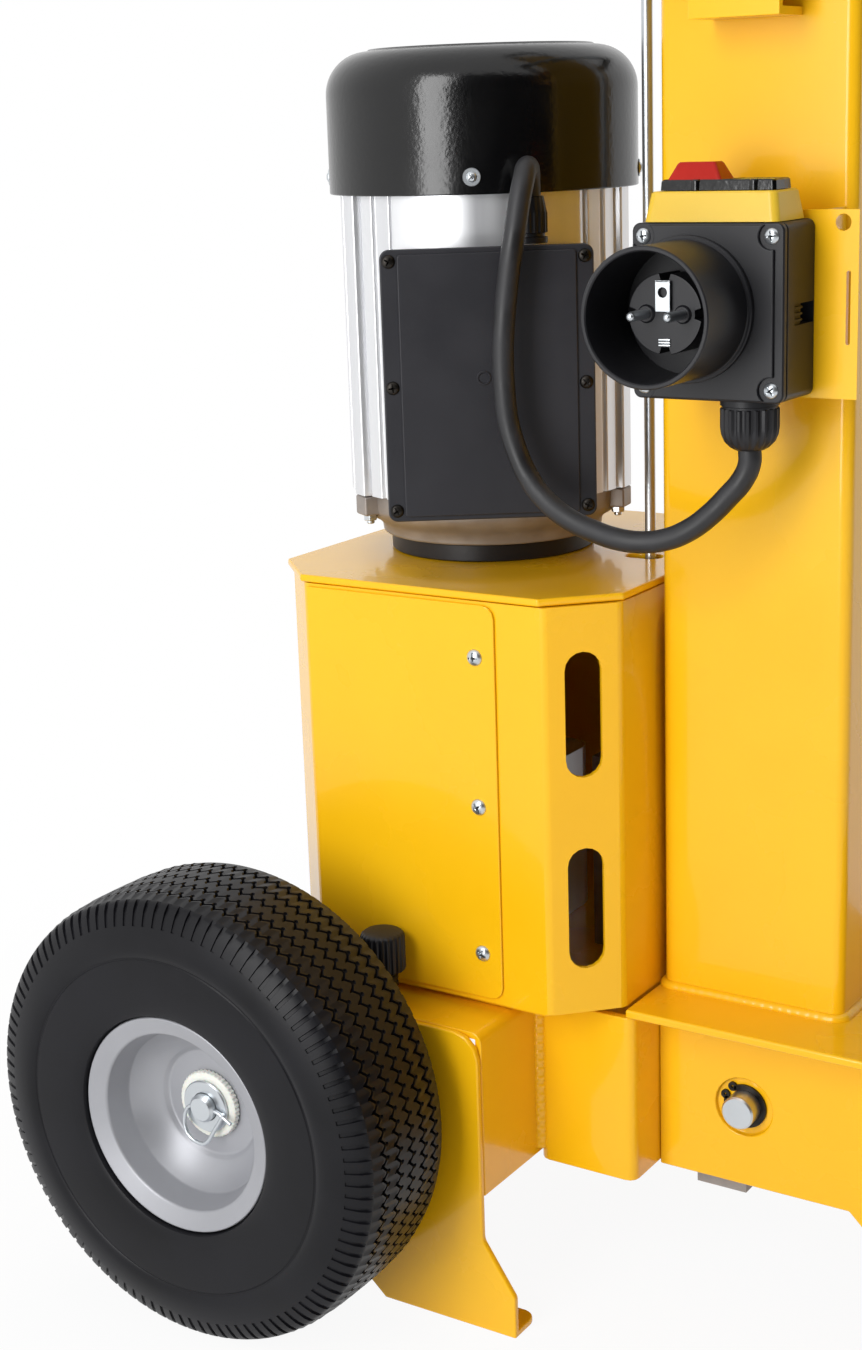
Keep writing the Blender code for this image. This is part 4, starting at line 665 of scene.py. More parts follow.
for side, sign in (("right", -1), ("left", 1)):
    hub_x, hub_y, hub_z = middle_mm(f"tyre_{side}")
    bush_in, bush_out = sorted(abs(corner.y) - abs(hub_y) for corner in box_mm(f"hub_bush_{side}"))
    web = bush_out - BUSH_FLANGE
    profile = [(radius, hub_y + sign * height) for radius, height in rim_profile(RIM_HALF, web)]
    add_piece(f"pressed_rim_{side}", turned(profile, hub_x, hub_z, "Y", 128, True), "silver_paint",
              f"wheel_rim_{side}", smooth=45)
    bush = [(8.3, bush_in, 0), (12.0, bush_in, 0), (12.0, web + 0.3, 0), (18.9, web + 0.3, 0.4),
            (19.5, web + 0.8, 0.6), (19.5, bush_out - 1.6, 0.6), (19.0, bush_out - 0.8, 0.2),
            (18.0, bush_out - 0.2, 0), (16.4, bush_out, 0), (8.9, bush_out, 0), (8.3, bush_out - 0.6, 0)]
    bush = [(radius, hub_y + sign * height, depth) for radius, height, depth in bush]
    add_piece(f"nylon_bush_{side}", ribbed(bush + bush[:1], hub_x, hub_z, BUSH_TEETH, "Y"), "cream_nylon",
              f"hub_bush_{side}")
    seat = hub_y + sign * (bush_out + 0.2)
    face = seat + sign * WASHER_THICK
    ring = [(WASHER_BORE, seat), (WASHER_RADIUS - 0.6, seat), (WASHER_RADIUS, seat + sign * 0.5),
            (WASHER_RADIUS, face - sign * 0.6), (WASHER_RADIUS - 0.6, face), (WASHER_BORE, face)]
    add_piece(f"axle_washer_{side}", turned(ring, hub_x, hub_z, "Y", 64, True), "bare_steel")
low, high = box_mm("axle")
axle_x, _, axle_z = middle_mm("axle")
axle_end = max(abs(low.y), abs(high.y))
bar = bar_profile(AXLE_RADIUS, low.y, high.y, AXLE_CHAMFER)
add_piece("turned_axle", turned(bar, axle_x, axle_z, "Y", 48), "bare_steel", "axle")
print("rims and hubs on axle at", round(axle_x, 1), round(axle_z, 1))

# %% [markdown]
# Each spring clip is one bent wire. It goes through a cross hole in the axle, hangs down as an open
# loop and hooks back to its own straight leg.

# %% Spring clips
WIRE_RADIUS, WIRE_ROUNDNESS = 1.15, 3
CLIP_INSET, CLIP_LEAN = 2.6, 0.12
CLIP_PATH = [
    (19.5, -5.0), (14.0, -2.2), (10.0, -0.4), (6.0, 0.0), (-6.0, 0.0), (-10.2, -1.6), (-12.6, -7.0),
    (-12.0, -13.5), (-9.6, -17.6), (-1.0, -20.6), (2.2, -19.6), (8.6, -10.5), (12.6, -4.0), (14.4, -0.4),
]
for side, sign in (("right", -1), ("left", 1)):
    clip_y = sign * (axle_end - CLIP_INSET)
    points = [Vector((axle_x + a, clip_y + sign * CLIP_LEAN * abs(b), axle_z + b)) * MM for a, b in CLIP_PATH]
    clip = baked(smooth_curve(f"spring_clip_{side}", points, WIRE_RADIUS * MM, WIRE_ROUNDNESS))
    clip.materials.clear()
    clip.materials.append(finishes["bare_steel"])
    place_piece(f"spring_clip_{side}", clip)
print("spring clip points:", len(CLIP_PATH))

# %% [markdown]
# The oil filler cap is a moulded knob with a knurled rim on a ribbed neck.

# %% Oil filler cap
NECK_RIBS, NECK_PITCH, KNURLS = 4, 4.4, 24
low, high = box_mm("oil_filler_cap")
cap_x, cap_y, _ = middle_mm("oil_filler_cap")
neck = [(0, low.z, 0), (8.0, low.z, 0)]
for rib in range(NECK_RIBS):
    start = low.z + 1.0 + rib * NECK_PITCH
    neck += [(8.0, start, 0), (8.0, start + 2.0, 0), (7.2, start + 2.6, 0), (7.2, start + 3.8, 0)]
knob = [(8.0, low.z + 18.8, 0), (11.4, low.z + 19.2, 0.9), (12.5, low.z + 20.4, 0.9),
        (12.5, high.z - 4.0, 0.9), (11.8, high.z - 2.4, 0.5), (10.2, high.z - 1.2, 0),
        (6.0, high.z - 0.3, 0), (0, high.z, 0)]
add_piece("knurled_filler_cap", ribbed(neck + knob, cap_x, cap_y, KNURLS), "black_plastic", "oil_filler_cap")
print("oil cap at", round(cap_x), round(cap_y))

# %% [markdown]
# The base pin is a sawn steel bar in a recess of the cheek, held by an external circlip.
# The circlip is punched from strip and has two ears with holes for the pliers.

# %% Base pin and circlip
PIN_RADIUS, PIN_PROUD, PIN_CHAMFER = 9.4, 3.5, 0.9
CLIP_INNER, CLIP_OUTER, CLIP_EAR, EAR_HOLE = 9.6, 12.6, 2.6, 0.9
OPENING_MIDDLE, OPENING_HALF = 142, 16
low, high = box_mm("base_pin")
pin_x, _, pin_z = middle_mm("base_pin")
end = low.y - PIN_PROUD
pin = [(0, end), (PIN_RADIUS - PIN_CHAMFER, end), (PIN_RADIUS, end + PIN_CHAMFER), (PIN_RADIUS, high.y - 4.0),
       (11.4, high.y - 4.0), (12.0, high.y - 3.4), (12.0, high.y - 0.8), (11.2, high.y), (0, high.y)]
add_piece("sawn_base_pin", turned(pin, pin_x, pin_z, "Y", 48), "bare_steel", "base_pin")
low, high = box_mm("pin_circlip")
first, last = OPENING_MIDDLE + OPENING_HALF, OPENING_MIDDLE + 360 - OPENING_HALF
outer = arc(pin_x, pin_z, CLIP_OUTER, first, last, 40)
inner = arc(pin_x, pin_z, CLIP_INNER, first, last, 40)
shapes = [round_edges(prism(outer + inner[::-1], low.y, high.y, "Y"), 0.2, 2)]
for ear in (outer[0], outer[-1]):
    hole = [circle(*ear, EAR_HOLE, 16)]
    shapes.append(round_edges(prism(circle(*ear, CLIP_EAR, 24), low.y, high.y, "Y", hole), 0.15, 2))
add_piece("eared_circlip", joined(shapes), "dark_steel", "pin_circlip")
print("base pin at", round(pin_x), round(pin_z, 1))

# %% [markdown]
# The stator is an aluminium extrusion: a ring of shallow wide ribs, four proud ribs that hold the
# tie bolts and a plain stretch behind the terminal box. Its outline follows a rule, so it is
# written as one: each rib is a short run of points, and the whole is pushed up to the motor's height.

# %% Stator
MOTOR_TURN = 33.4
RIBS = 36
PAD_MIDDLE, PAD_HALF, PAD_STEPS = 270, 36, 6
TIE_BOLTS = (25, 155, 205, 335)
STATOR_RAISED, STATOR_BORE = 11.0, 48.6
ROOT_RADIUS, RIB_RADIUS, LUG_RADIUS = 78.2, 80.6, 83.8
RIB_SHARE, LUG_SHARE, LUG_NEAR = 0.36, 0.42, 0.45
RIB_FLANK = [(-0.9, 0.0), (-0.5, 0.15), (-0.2, 0.8), (0.2, 0.96), (0.6, 1.0)]
motor_x, motor_y, _ = middle_mm("fan_cowl")
motor_place = Matrix.Translation((motor_x, motor_y, 0))
motor_turn = motor_place @ rotation(MOTOR_TURN)


def stator_outline():
    """The extrusion's section about its own axis, as (x, y) points."""
    outline = []
    pitch = 360 / RIBS
    for rib in range(RIBS):
        middle = (rib + 0.5) * pitch
        lug = min(abs(math.remainder(middle - bolt, 360)) for bolt in TIE_BOLTS) < pitch * LUG_NEAR
        radius, half = (LUG_RADIUS, pitch * LUG_SHARE) if lug else (RIB_RADIUS, pitch * RIB_SHARE)
        if abs(math.remainder(middle - PAD_MIDDLE, 360)) < PAD_HALF:
            outline += arc(0, 0, RIB_RADIUS, middle - pitch / 2, middle + pitch / 2, PAD_STEPS)[:-1]
            continue
        steps = [(aside - half, share) for aside, share in RIB_FLANK]
        steps += [(-turn, share) for turn, share in steps[::-1]]
        outline += [polar(0, 0, ROOT_RADIUS + (radius - ROOT_RADIUS) * share, math.radians(middle + turn))
                    for turn, share in steps]
    return outline


low, high = box_mm("motor_stator")
stator = prism(stator_outline(), low.z + STATOR_RAISED, high.z, holes=[circle(0, 0, STATOR_BORE, 64)])
stator.transform(motor_turn)
add_piece("extruded_stator", stator, "aluminium", "motor_stator", smooth=50)
print("stator ribs:", RIBS)

# %% [markdown]
# The lower end shield is a casting with four ears under the tie-bolt ribs. The motor stands on
# it and on a black flange ring. The ears are blocks joined to the turned body.

# %% Lower end shield and flange ring
EAR_HEIGHT, EAR_IN, EAR_OUT, EAR_HALF, EAR_EDGE = 11.0, 66.0, 83.4, 6.6, 1.2
SHAFT_BORE, SHIELD_GAP = 12.5, 0.3
RING_RAISED, RING_RADIUS, RING_BORE, RING_CHAMFER = 3.0, 58.7, 40.0, 0.7
low, high = box_mm("lower_end_shield")
foot = low.z + RING_RAISED
top = high.z + STATOR_RAISED - SHIELD_GAP
ear_foot = top - EAR_HEIGHT
body = [(SHAFT_BORE, foot), (62.0, foot)] + arc(62.0, foot + 1.5, 1.5, -90, 0, 4)
body += [(64.0, foot + 5.0), (66.5, foot + 8.0), (71.0, foot + 10.6), (74.0, foot + 13.4)]
body += [(75.6, foot + 16.6), (76.0, top - 1.0), (75.4, top), (SHAFT_BORE, top)]
shapes = [turned(body, 0, 0, "Z", 96, True)]
for bolt in TIE_BOLTS:
    ear = round_edges(block(EAR_IN, EAR_OUT, -EAR_HALF, EAR_HALF, ear_foot, top), EAR_EDGE)
    ear.transform(rotation(bolt))
    shapes.append(ear)
shield = joined(shapes)
shield.transform(motor_turn)
add_piece("cast_lower_shield", shield, "cast_grey", "lower_end_shield")
low, high = box_mm("motor_flange_ring")
ring = bar_profile(RING_RADIUS, low.z, high.z + RING_RAISED, RING_CHAMFER, RING_BORE)
add_piece("flange_ring", turned(ring, motor_x, motor_y, "Z", 96, True), "black_plastic", "motor_flange_ring")
print("shield ears at", round(ear_foot, 1))

# %% [markdown]
# The fan cowl is deep-drawn sheet with a wide round shoulder. The cover is one turned profile;
# the air slits in its top are cut with a Boolean and the result is kept as a plain mesh.

# %% Fan cowl
COWL_RADIUS, COWL_WALL, COWL_SHOULDER = 86.4, 1.8, 23.0
COWL_BEAD, COWL_STEP, COWL_UNDER = 0.7, 0.3, 6.0
GRILLE_BARS, GRILLE_IN, GRILLE_OUT, GRILLE_HALF = 16, 28.0, 56.0, 2.5
GRILLE_CORNER = GRILLE_HALF * 0.96
low, high = box_mm("fan_cowl")
cowl_top = high.z - COWL_UNDER
corner = COWL_RADIUS - COWL_SHOULDER
shoulder = cowl_top - COWL_SHOULDER - COWL_STEP
outside = [(0, cowl_top), (corner - 4.0, cowl_top), (corner - 3.2, cowl_top + COWL_BEAD),
           (corner - 1.4, cowl_top + COWL_BEAD), (corner - 0.6, cowl_top)]
outside += arc(corner, shoulder, COWL_SHOULDER, 88, 0, 16)
lip = [(COWL_RADIUS, low.z + 0.5), (COWL_RADIUS - 0.4, low.z), (COWL_RADIUS - COWL_WALL, low.z)]
inside = arc(corner, shoulder, COWL_SHOULDER - COWL_WALL, 0, 90, 10) + [(0, cowl_top - COWL_WALL - COWL_STEP)]
cowl = turned(outside + lip + inside, motor_x, motor_y, "Z", 128)
slits = []
for bar in range(GRILLE_BARS):
    slit = rectangle(GRILLE_IN, GRILLE_OUT, -GRILLE_HALF, GRILLE_HALF, GRILLE_CORNER, 5)
    slit = prism(slit, cowl_top - 3 * COWL_WALL, cowl_top + COWL_WALL)
    slit.transform(motor_place @ rotation(360 * bar / GRILLE_BARS))
    slits.append(slit)
add_piece("drawn_fan_cowl", cut_away(cowl, joined(slits)), "black_paint", "fan_cowl", smooth=30)
print("cowl slits:", GRILLE_BARS)

# %% [markdown]
# The terminal lid is moulded: a plate with a raised panel between two sunken strips that take the
# screws, and a small round knock-out mark. It is drawn facing -Y and turned with the motor.

# %% Terminal lid and gland
LID_FACE, LID_THICK, LID_HALF, LID_CORNER = 104.0, 6.0, 55.7, 5
LID_ASIDE = -3.0
STRIP_WIDTH, STRIP_DEPTH = 9.0, 1.6
PANEL_INSET, PANEL_CORNER, PANEL_SUNK = 2.6, 2, 0.3
MARK_RADIUS, MARK_X, MARK_RISE = 3.8, -3.0, 4
GLAND_RIBS = 16
lid_place = motor_turn @ Matrix.Translation((LID_ASIDE, 0, 0))
low, high = box_mm("terminal_lid")
lid_low, lid_high, lid_middle = low.z, high.z, (low.z + high.z) / 2
face = -LID_FACE
plate = rectangle(-LID_HALF, LID_HALF, lid_low, lid_high, LID_CORNER)
plate = round_edges(prism(plate, face + STRIP_DEPTH, face + LID_THICK, "Y"), 0.9)
inner = LID_HALF - STRIP_WIDTH
panel = rectangle(-inner, inner, lid_low + PANEL_INSET, lid_high - PANEL_INSET, PANEL_CORNER)
panel = round_edges(prism(panel, face + PANEL_SUNK, face + LID_THICK / 2, "Y"), 0.8)
mark = [(0, face + 0.2), (2.5, face + 0.2), (2.9, face - 0.4), (MARK_RADIUS - 0.3, face - 0.4),
        (MARK_RADIUS, face - 0.1), (MARK_RADIUS, face + 1.5), (0, face + 1.5)]
lid = joined([plate, panel, turned(mark, MARK_X, lid_middle + MARK_RISE, "Y", 32)])
lid.transform(lid_place)
moulded_lid = add_piece("moulded_terminal_lid", lid, "black_plastic", "terminal_lid")
# The lid takes the black ABS with lighter tones, a painted sheen.
moulded_lid.data.materials[0] = finishes["lid_painted_sheen"]
low, high = box_mm("terminal_gland")
gland_x, gland_y, _ = middle_mm("terminal_gland")
gland = [(0, low.z, 0), (9.0, low.z, 0), (9.0, low.z + 3.0, 0), (7.6, low.z + 3.4, 0), (7.6, low.z + 5.0, 0),
         (9.0, low.z + 5.4, 0.8), (9.0, high.z - 8.5, 0.8), (8.4, high.z - 6.0, 0.5), (7.2, high.z, 0),
         (0, high.z, 0)]
add_piece("ribbed_terminal_gland", ribbed(gland, gland_x, gland_y, GLAND_RIBS), "black_plastic",
          "terminal_gland")
print("terminal lid from", round(lid_low), "to", round(lid_high))

# %% [markdown]
# The switch is a two-part ABS box: a body and a front cover that meet at a fine groove. The cover
# has a raised panel that leaves a round pocket for the screw in each corner and a lower strip along
# one side. The body has a notch at the back, with three short ribs in front of it.

# %% Switch box
COVER_DEPTH, JOINT_GROOVE, GROOVE_INSET = 6.0, 0.6, 0.8
POCKET_RADIUS, POCKET_INSET, POCKET_DEPTH, POCKET_STEPS = 6.2, 6.2, 1.8, 8
PANEL_EDGE, SIDE_STRIP, BOX_CORNER = 0.9, 4.6, 4
NOTCH_LENGTH, NOTCH_DEPTH, NOTCH_RISE, NOTCH_HEIGHT = 13.0, 10.0, 35.5, 10.0
RECESS_LENGTH, RECESS_DEPTH, RECESS_OVERLAP, BACK_WALL = 11.0, 1.6, 0.5, 1.0
NOTCH_RIBS, NOTCH_RIB_PITCH, NOTCH_RIB_THICK = 3, 2.9, 1.2
low, high = box_mm("switch_box")
joint = low.y + COVER_DEPTH
outline = rectangle(low.x, high.x, low.z, high.z, BOX_CORNER)
shell = round_edges(prism(outline, joint + JOINT_GROOVE, high.y, "Y"), 0.6, 2)
cover = round_edges(prism(outline, low.y + POCKET_DEPTH, joint, "Y"), 1.0)
inset = rectangle(low.x + GROOVE_INSET, high.x - GROOVE_INSET, low.z + GROOVE_INSET, high.z - GROOVE_INSET, 3)
groove = prism(inset, joint - 1, joint + JOINT_GROOVE + 1, "Y")


def pocketed(left, right, bottom, top, spots, radius):
    """A rectangle with a round bite of one radius about a spot in each corner."""
    outline = []
    reaches = [(spots[0][0] - left, spots[0][1] - bottom), (spots[1][1] - bottom, right - spots[1][0]),
               (right - spots[2][0], top - spots[2][1]), (top - spots[3][1], spots[3][0] - left)]
    for quarter, (before, after) in enumerate(reaches):
        first = math.atan2(math.sqrt(radius ** 2 - before ** 2), -before)
        last = math.atan2(-after, math.sqrt(radius ** 2 - after ** 2))
        start, end = (math.degrees(turn) + 90 * quarter for turn in (first, last))
        outline += arc(*spots[quarter], radius, start, end, POCKET_STEPS)
    return outline


near, far = low.x + POCKET_INSET, high.x - POCKET_INSET
under, over = low.z + POCKET_INSET, high.z - POCKET_INSET
pocket_spots = [(near, under), (far, under), (far, over), (near, over)]
panel = pocketed(low.x + PANEL_EDGE, high.x - SIDE_STRIP, low.z + PANEL_EDGE, high.z - PANEL_EDGE,
                 pocket_spots, POCKET_RADIUS)
panel = round_edges(prism(panel, low.y, joint - 1, "Y"), 0.7)
notch_low = low.z + NOTCH_RISE
notch_high = notch_low + NOTCH_HEIGHT
notch_back = high.y - NOTCH_LENGTH
recess_back = notch_back + RECESS_OVERLAP
recess_front = recess_back - RECESS_LENGTH
notch = block(high.x - NOTCH_DEPTH, high.x + 2, notch_back, high.y - BACK_WALL, notch_low, notch_high)
recess = block(high.x - RECESS_DEPTH, high.x + 2, recess_front, recess_back, notch_low, notch_high)
shapes = [cut_away(cut_away(shell, notch), recess), cover, groove, panel]
for rib in range(NOTCH_RIBS):
    start = notch_low + 1.6 + rib * NOTCH_RIB_PITCH
    shapes.append(round_edges(block(high.x - RECESS_DEPTH - 0.4, high.x - 0.3, recess_front + 0.6,
                                    recess_back - 1.0, start, start + NOTCH_RIB_THICK), 0.3, 2))
add_piece("two_part_switch_box", joined(shapes), "black_plastic", "switch_box")
switch_face = low.y + POCKET_DEPTH
print("switch pockets:", len(pocket_spots))

# %% [markdown]
# On top sit a pale yellow bezel with little taper, a smoked frame whose front is broken by two
# rounded posts, and the red stop key, a wedge with sloping ends. Each key moves in a window of
# the frame.

# %% Switch top
LIP = 0.8
BEZEL_INSET, KEY_INSET = 1.5, 1.0
FRAME_INSET_X, FRAME_INSET_Y = 1.0, 1.2
POST_RADIUS, POST_CHAMFER, POST_INSET, POST_LEFT, POST_RIGHT = 2.6, 0.6, 0.2, 20.0, 12.0
WINDOW_ROOM, WINDOW_CORNER = 0.3, 0.8


def frustum(x0, x1, y0, y1, z0, z1, taper_x, taper_y, corner):
    """A block with rounded upright corners whose sides lean in by a taper."""
    rings = []
    for z, share, lip in ((z0, 0, 0), (z1 - LIP, 1, 0), (z1, 1, LIP)):
        a, b = taper_x * share + lip, taper_y * share + lip
        rings.append([(x, y, z) for x, y in rectangle(x0 + a, x1 - a, y0 + b, y1 - b, corner, 5)])
    middle = ((x0 + x1) / 2, (y0 + y1) / 2)
    return skin([[(*middle, z0)], *rings, [(*middle, z1)]])


def key_windows(low, high):
    """The two openings of the frame, in which the keys move."""
    openings = []
    for key in ("stop_button", "start_button"):
        first, last = box_mm(key)
        outline = rectangle(first.x - WINDOW_ROOM, last.x + WINDOW_ROOM, first.y - WINDOW_ROOM,
                            last.y + WINDOW_ROOM, WINDOW_CORNER)
        openings.append(prism(outline, low - 1, high + 1))
    return joined(openings)


low, high = box_mm("switch_bezel")
bezel = frustum(low.x + BEZEL_INSET, high.x - BEZEL_INSET, low.y, high.y, low.z, high.z,
                taper_x=2.2, taper_y=2.4, corner=4.0)
add_piece("moulded_bezel", bezel, "yellow_plastic", "switch_bezel", smooth=30)
low, high = box_mm("switch_frame")
shapes = [frustum(low.x + FRAME_INSET_X, high.x - FRAME_INSET_X, low.y + FRAME_INSET_Y,
                  high.y - FRAME_INSET_Y, low.z, high.z, taper_x=0.3, taper_y=0.3, corner=2.0)]
for post_x in (low.x + POST_LEFT, high.x - POST_RIGHT):
    post = [(0, low.z), (POST_RADIUS, low.z), (POST_RADIUS, high.z - POST_CHAMFER),
            (POST_RADIUS - POST_CHAMFER, high.z), (0, high.z)]
    shapes.append(turned(post, post_x, low.y + POST_INSET + POST_RADIUS, "Z", 24))
shapes = [cut_away(shape, key_windows(low.z, high.z)) for shape in shapes]
add_piece("smoked_frame", joined(shapes), "black_paint", "switch_frame")
low, high = box_mm("stop_button")
stop_key = frustum(low.x + KEY_INSET, high.x - KEY_INSET, low.y, high.y, low.z, high.z,
                   taper_x=4.6, taper_y=3.0, corner=1.6)
add_piece("wedge_stop_key", stop_key, "red_plastic", "stop_button", smooth=30)
print("frame shapes:", len(shapes))

# %% [markdown]
# Inside the collar a round insert carries two round-nosed pins, with an earth clip above and a
# small clip below. Pins and clips are nickel-plated, so they are a piece of their own.

# %% Mains inlet
COLLAR_RADIUS, COLLAR_WALL, COLLAR_EDGE = 33.0, 2.5, 0.6
COLLAR_FOOT = [(0.0, 3.4), (0.5, 2.9), (1.6, 2.9), (2.0, 2.5), (2.0, 0.0)]
PIN_COLLAR = [(0, -1.2), (3.6, -1.2), (4.4, -0.4), (4.4, 1)]
INSERT_RADIUS, INSERT_SUNK, FLOOR_THICK = 19.0, 18.0, 1.5
NOTCH_HALF, NOTCH_REACH = 2.6, 3.4
PIN_SPREAD, CONTACT_RADIUS = 9.5, 2.4
EARTH_HALF, EARTH_LOW, EARTH_HIGH, EARTH_THICK = 3.7, 1.4, 15.6, 0.8
EARTH_HOLE, EARTH_HOLE_RISE = 2.5, 10.2
CLIP_RIBS, CLIP_HALF, CLIP_FALL, CLIP_PITCH, CLIP_THICK = 3, 3.0, 15.0, 1.3, 0.9
low, high = box_mm("inlet_collar")
inlet_x, _, inlet_z = middle_mm("inlet_collar")
inner = COLLAR_RADIUS - COLLAR_WALL
tube = [(inner, high.y), (inner, low.y + COLLAR_EDGE), (inner + COLLAR_EDGE, low.y),
        (COLLAR_RADIUS - COLLAR_EDGE, low.y), (COLLAR_RADIUS, low.y + COLLAR_EDGE)]
tube += [(COLLAR_RADIUS + proud, high.y - before) for proud, before in COLLAR_FOOT]
add_piece("inlet_shroud", turned(tube, inlet_x, inlet_z, "Y", 96, True), "black_plastic", "inlet_collar")
low, high = box_mm("inlet_insert")
insert_face, floor_face = low.y + INSERT_SUNK, high.y - FLOOR_THICK
notched = []
for x, z in circle(0, 0, INSERT_RADIUS, 160):
    share = 1 - NOTCH_REACH / INSERT_RADIUS if min(abs(x), abs(z)) < NOTCH_HALF else 1
    notched.append((inlet_x + x * share, inlet_z + z * share))
floor_disc = [(0, high.y), (inner, high.y), (inner, floor_face), (0, floor_face)]
plastic = [round_edges(prism(notched, insert_face, floor_face, "Y"), 0.4, 2)]
plastic.append(turned(floor_disc, inlet_x, inlet_z, "Y"))
metal = []
for sign in (-1, 1):
    spot = inlet_x + sign * PIN_SPREAD
    collar = [(radius, insert_face + before) for radius, before in PIN_COLLAR]
    plastic.append(turned(collar, spot, inlet_z, "Y", 32))
    nose = [(0, low.y)] + arc(0, low.y + CONTACT_RADIUS, CONTACT_RADIUS, -90, 0)[1:]
    metal.append(turned(nose + [(CONTACT_RADIUS, insert_face + 2)], spot, inlet_z, "Y", 24))
add_piece("inlet_socket_body", joined(plastic), "black_plastic", "inlet_insert")
left, right = inlet_x - EARTH_HALF, inlet_x + EARTH_HALF
earth_top = inlet_z + EARTH_HIGH
hole = [circle(inlet_x, inlet_z + EARTH_HOLE_RISE, EARTH_HOLE, 24)]
strip = rectangle(left, right, inlet_z + EARTH_LOW, earth_top)
metal.append(round_edges(prism(strip, insert_face - 2.4, insert_face - 1.4, "Y", hole), 0.25, 2))
hook = block(left, right, insert_face - 2.4, insert_face + 1, earth_top - EARTH_THICK, earth_top)
metal.append(round_edges(hook, 0.2, 2))
for rib in range(CLIP_RIBS):
    start = inlet_z - CLIP_FALL + rib * CLIP_PITCH
    clip = rectangle(inlet_x - CLIP_HALF, inlet_x + CLIP_HALF, insert_face - 1.0, insert_face + 0.5)
    metal.append(round_edges(prism(clip, start, start + CLIP_THICK), 0.2, 2))
add_piece("inlet_contacts", joined(metal), "bare_steel")
low, high = box_mm("switch_gland")
gland_x, gland_y, _ = middle_mm("switch_gland")
nut = [(0, low.z, 0), (7.4, low.z, 0), (9.6, low.z + 1.2, 0.2), (12.4, low.z + 4.0, 0.7),
       (13.9, low.z + 7.4, 0.9), (14.4, low.z + 11.0, 1.1), (14.4, high.z - 4.6, 1.1),
       (13.6, high.z - 4.2, 0), (13.6, high.z - 3.2, 0), (14.4, high.z - 2.8, 0), (14.4, high.z, 0),
       (0, high.z, 0)]
add_piece("castellated_gland_nut", ribbed(nut, gland_x, gland_y, 20), "black_plastic", "switch_gland")
print("inlet at", round(inlet_x), round(inlet_z))

# %% [markdown]
# The control rod runs behind the column. The levers' grips are outside the photograph and have
# moulded rings.

# %% Control rod and grips
ROD_RADIUS, ROD_CHAMFER = 3.0, 0.6
YOKE_RADIUS, YOKE_CHAMFER = 6.0, 0.8
GRIP_RINGS, GRIP_END = 11, 4
low, high = box_mm("control_rod")
rod_x, _, _ = middle_mm("control_rod")
yoke_z = high.z - YOKE_RADIUS
rod = [(0, low.z), (ROD_RADIUS - ROD_CHAMFER, low.z), (ROD_RADIUS, low.z + ROD_CHAMFER), (ROD_RADIUS, yoke_z),
       (0, yoke_z)]
bar = bar_profile(YOKE_RADIUS, low.y, high.y, YOKE_CHAMFER)
shapes = [turned(rod, rod_x, 0, "Z", 32), turned(bar, rod_x, yoke_z, "Y", 32)]
add_piece("ground_control_rod", joined(shapes), "bare_steel", "control_rod")
for side in ("right", "left"):
    low, high = box_mm(f"lever_grip_{side}")
    _, grip_y, grip_z = middle_mm(f"lever_grip_{side}")
    span = (high.x - low.x - 2 * GRIP_END) / GRIP_RINGS
    profile = [(0, low.x), (13.0, low.x), (15.0, low.x + 1.5), (15.0, low.x + 3.0)]
    for ring in range(GRIP_RINGS):
        start = low.x + GRIP_END + ring * span
        profile += [(13.6, start), (13.6, start + span * 0.3), (14.8, start + span * 0.45),
                    (14.8, start + span * 0.9)]
    profile += [(14.6, high.x - 2.4), (13.0, high.x - 0.8), (9.0, high.x), (0, high.x)]
    add_piece(f"ringed_grip_{side}", turned(profile, grip_y, grip_z, "X", 40), "grip_rubber",
              f"lever_grip_{side}")
print("grip rings:", GRIP_RINGS)

# %% [markdown]
# Screws and welds are grown by Geometry Nodes. These helpers open a tree with its inputs, end it
# with real copies in one material, and run it on points or on a line. The result is kept as a
# plain mesh.

# %% Tree tools
def new_tree(name, inputs):
    """A geometry tree and the sockets of its inputs."""
    tree = bpy.data.node_groups.new(name, "GeometryNodeTree")
    for label, kind in {"Geometry": "NodeSocketGeometry", **inputs}.items():
        tree.interface.new_socket(label, in_out="INPUT", socket_type=kind)
    tree.interface.new_socket("Geometry", in_out="OUTPUT", socket_type="NodeSocketGeometry")
    return tree, tree.nodes.new("NodeGroupInput").outputs


def end_tree(tree, geometry, material):
    real = add_node(tree, "GeometryNodeRealizeInstances", {"Geometry": geometry})
    coated = add_node(tree, "GeometryNodeSetMaterial", {"Geometry": real, "Material": material})
    add_node(tree, "NodeGroupOutput", {"Geometry": coated})


def run_tree(name, data, tree, inputs, smooth):
    """The tree's result on some data, as a plain mesh piece."""
    holder = linked(name + "_source", data)
    grower = holder.modifiers.new("Grow", "NODES")
    grower.node_group = tree
    for item in tree.interface.items_tree:
        if item.in_out == "INPUT" and item.name in inputs:
            grower[item.identifier] = inputs[item.name]
    place_piece(name, baked(holder), smooth)


print("tree tools ready")

# %% [markdown]
# Screws repeat, so Geometry Nodes place them. Each vertex of a small point mesh carries the
# direction its screw faces. The tree builds one cross-head screw from a dome and two blocks,
# sets it on every point, turns each by its own amount and makes the copies real.

# %% Screw tree
QUARTER_TURN = (0, 0, math.pi / 2)
RANDOM_LOW, RANDOM_HIGH, RANDOM_SEED, RANDOM_VALUE = 2, 3, 8, 1
SPIN_SEED = 7
screw_tree, given = new_tree("cross_head_screws", {
    "Head size": "NodeSocketVector", "Cross size": "NodeSocketVector", "Cross lift": "NodeSocketVector",
    "Metal": "NodeSocketMaterial"})
ball = add_node(screw_tree, "GeometryNodeMeshUVSphere", {"Segments": 24, "Rings": 12, "Radius": 1.0})
dome = add_node(screw_tree, "GeometryNodeTransform", {"Geometry": ball, "Scale": given["Head size"]})
blade = add_node(screw_tree, "GeometryNodeMeshCube", {"Size": given["Cross size"]})
first = add_node(screw_tree, "GeometryNodeTransform", {"Geometry": blade, "Translation": given["Cross lift"]})
second = add_node(screw_tree, "GeometryNodeTransform", {"Geometry": first, "Rotation": QUARTER_TURN})
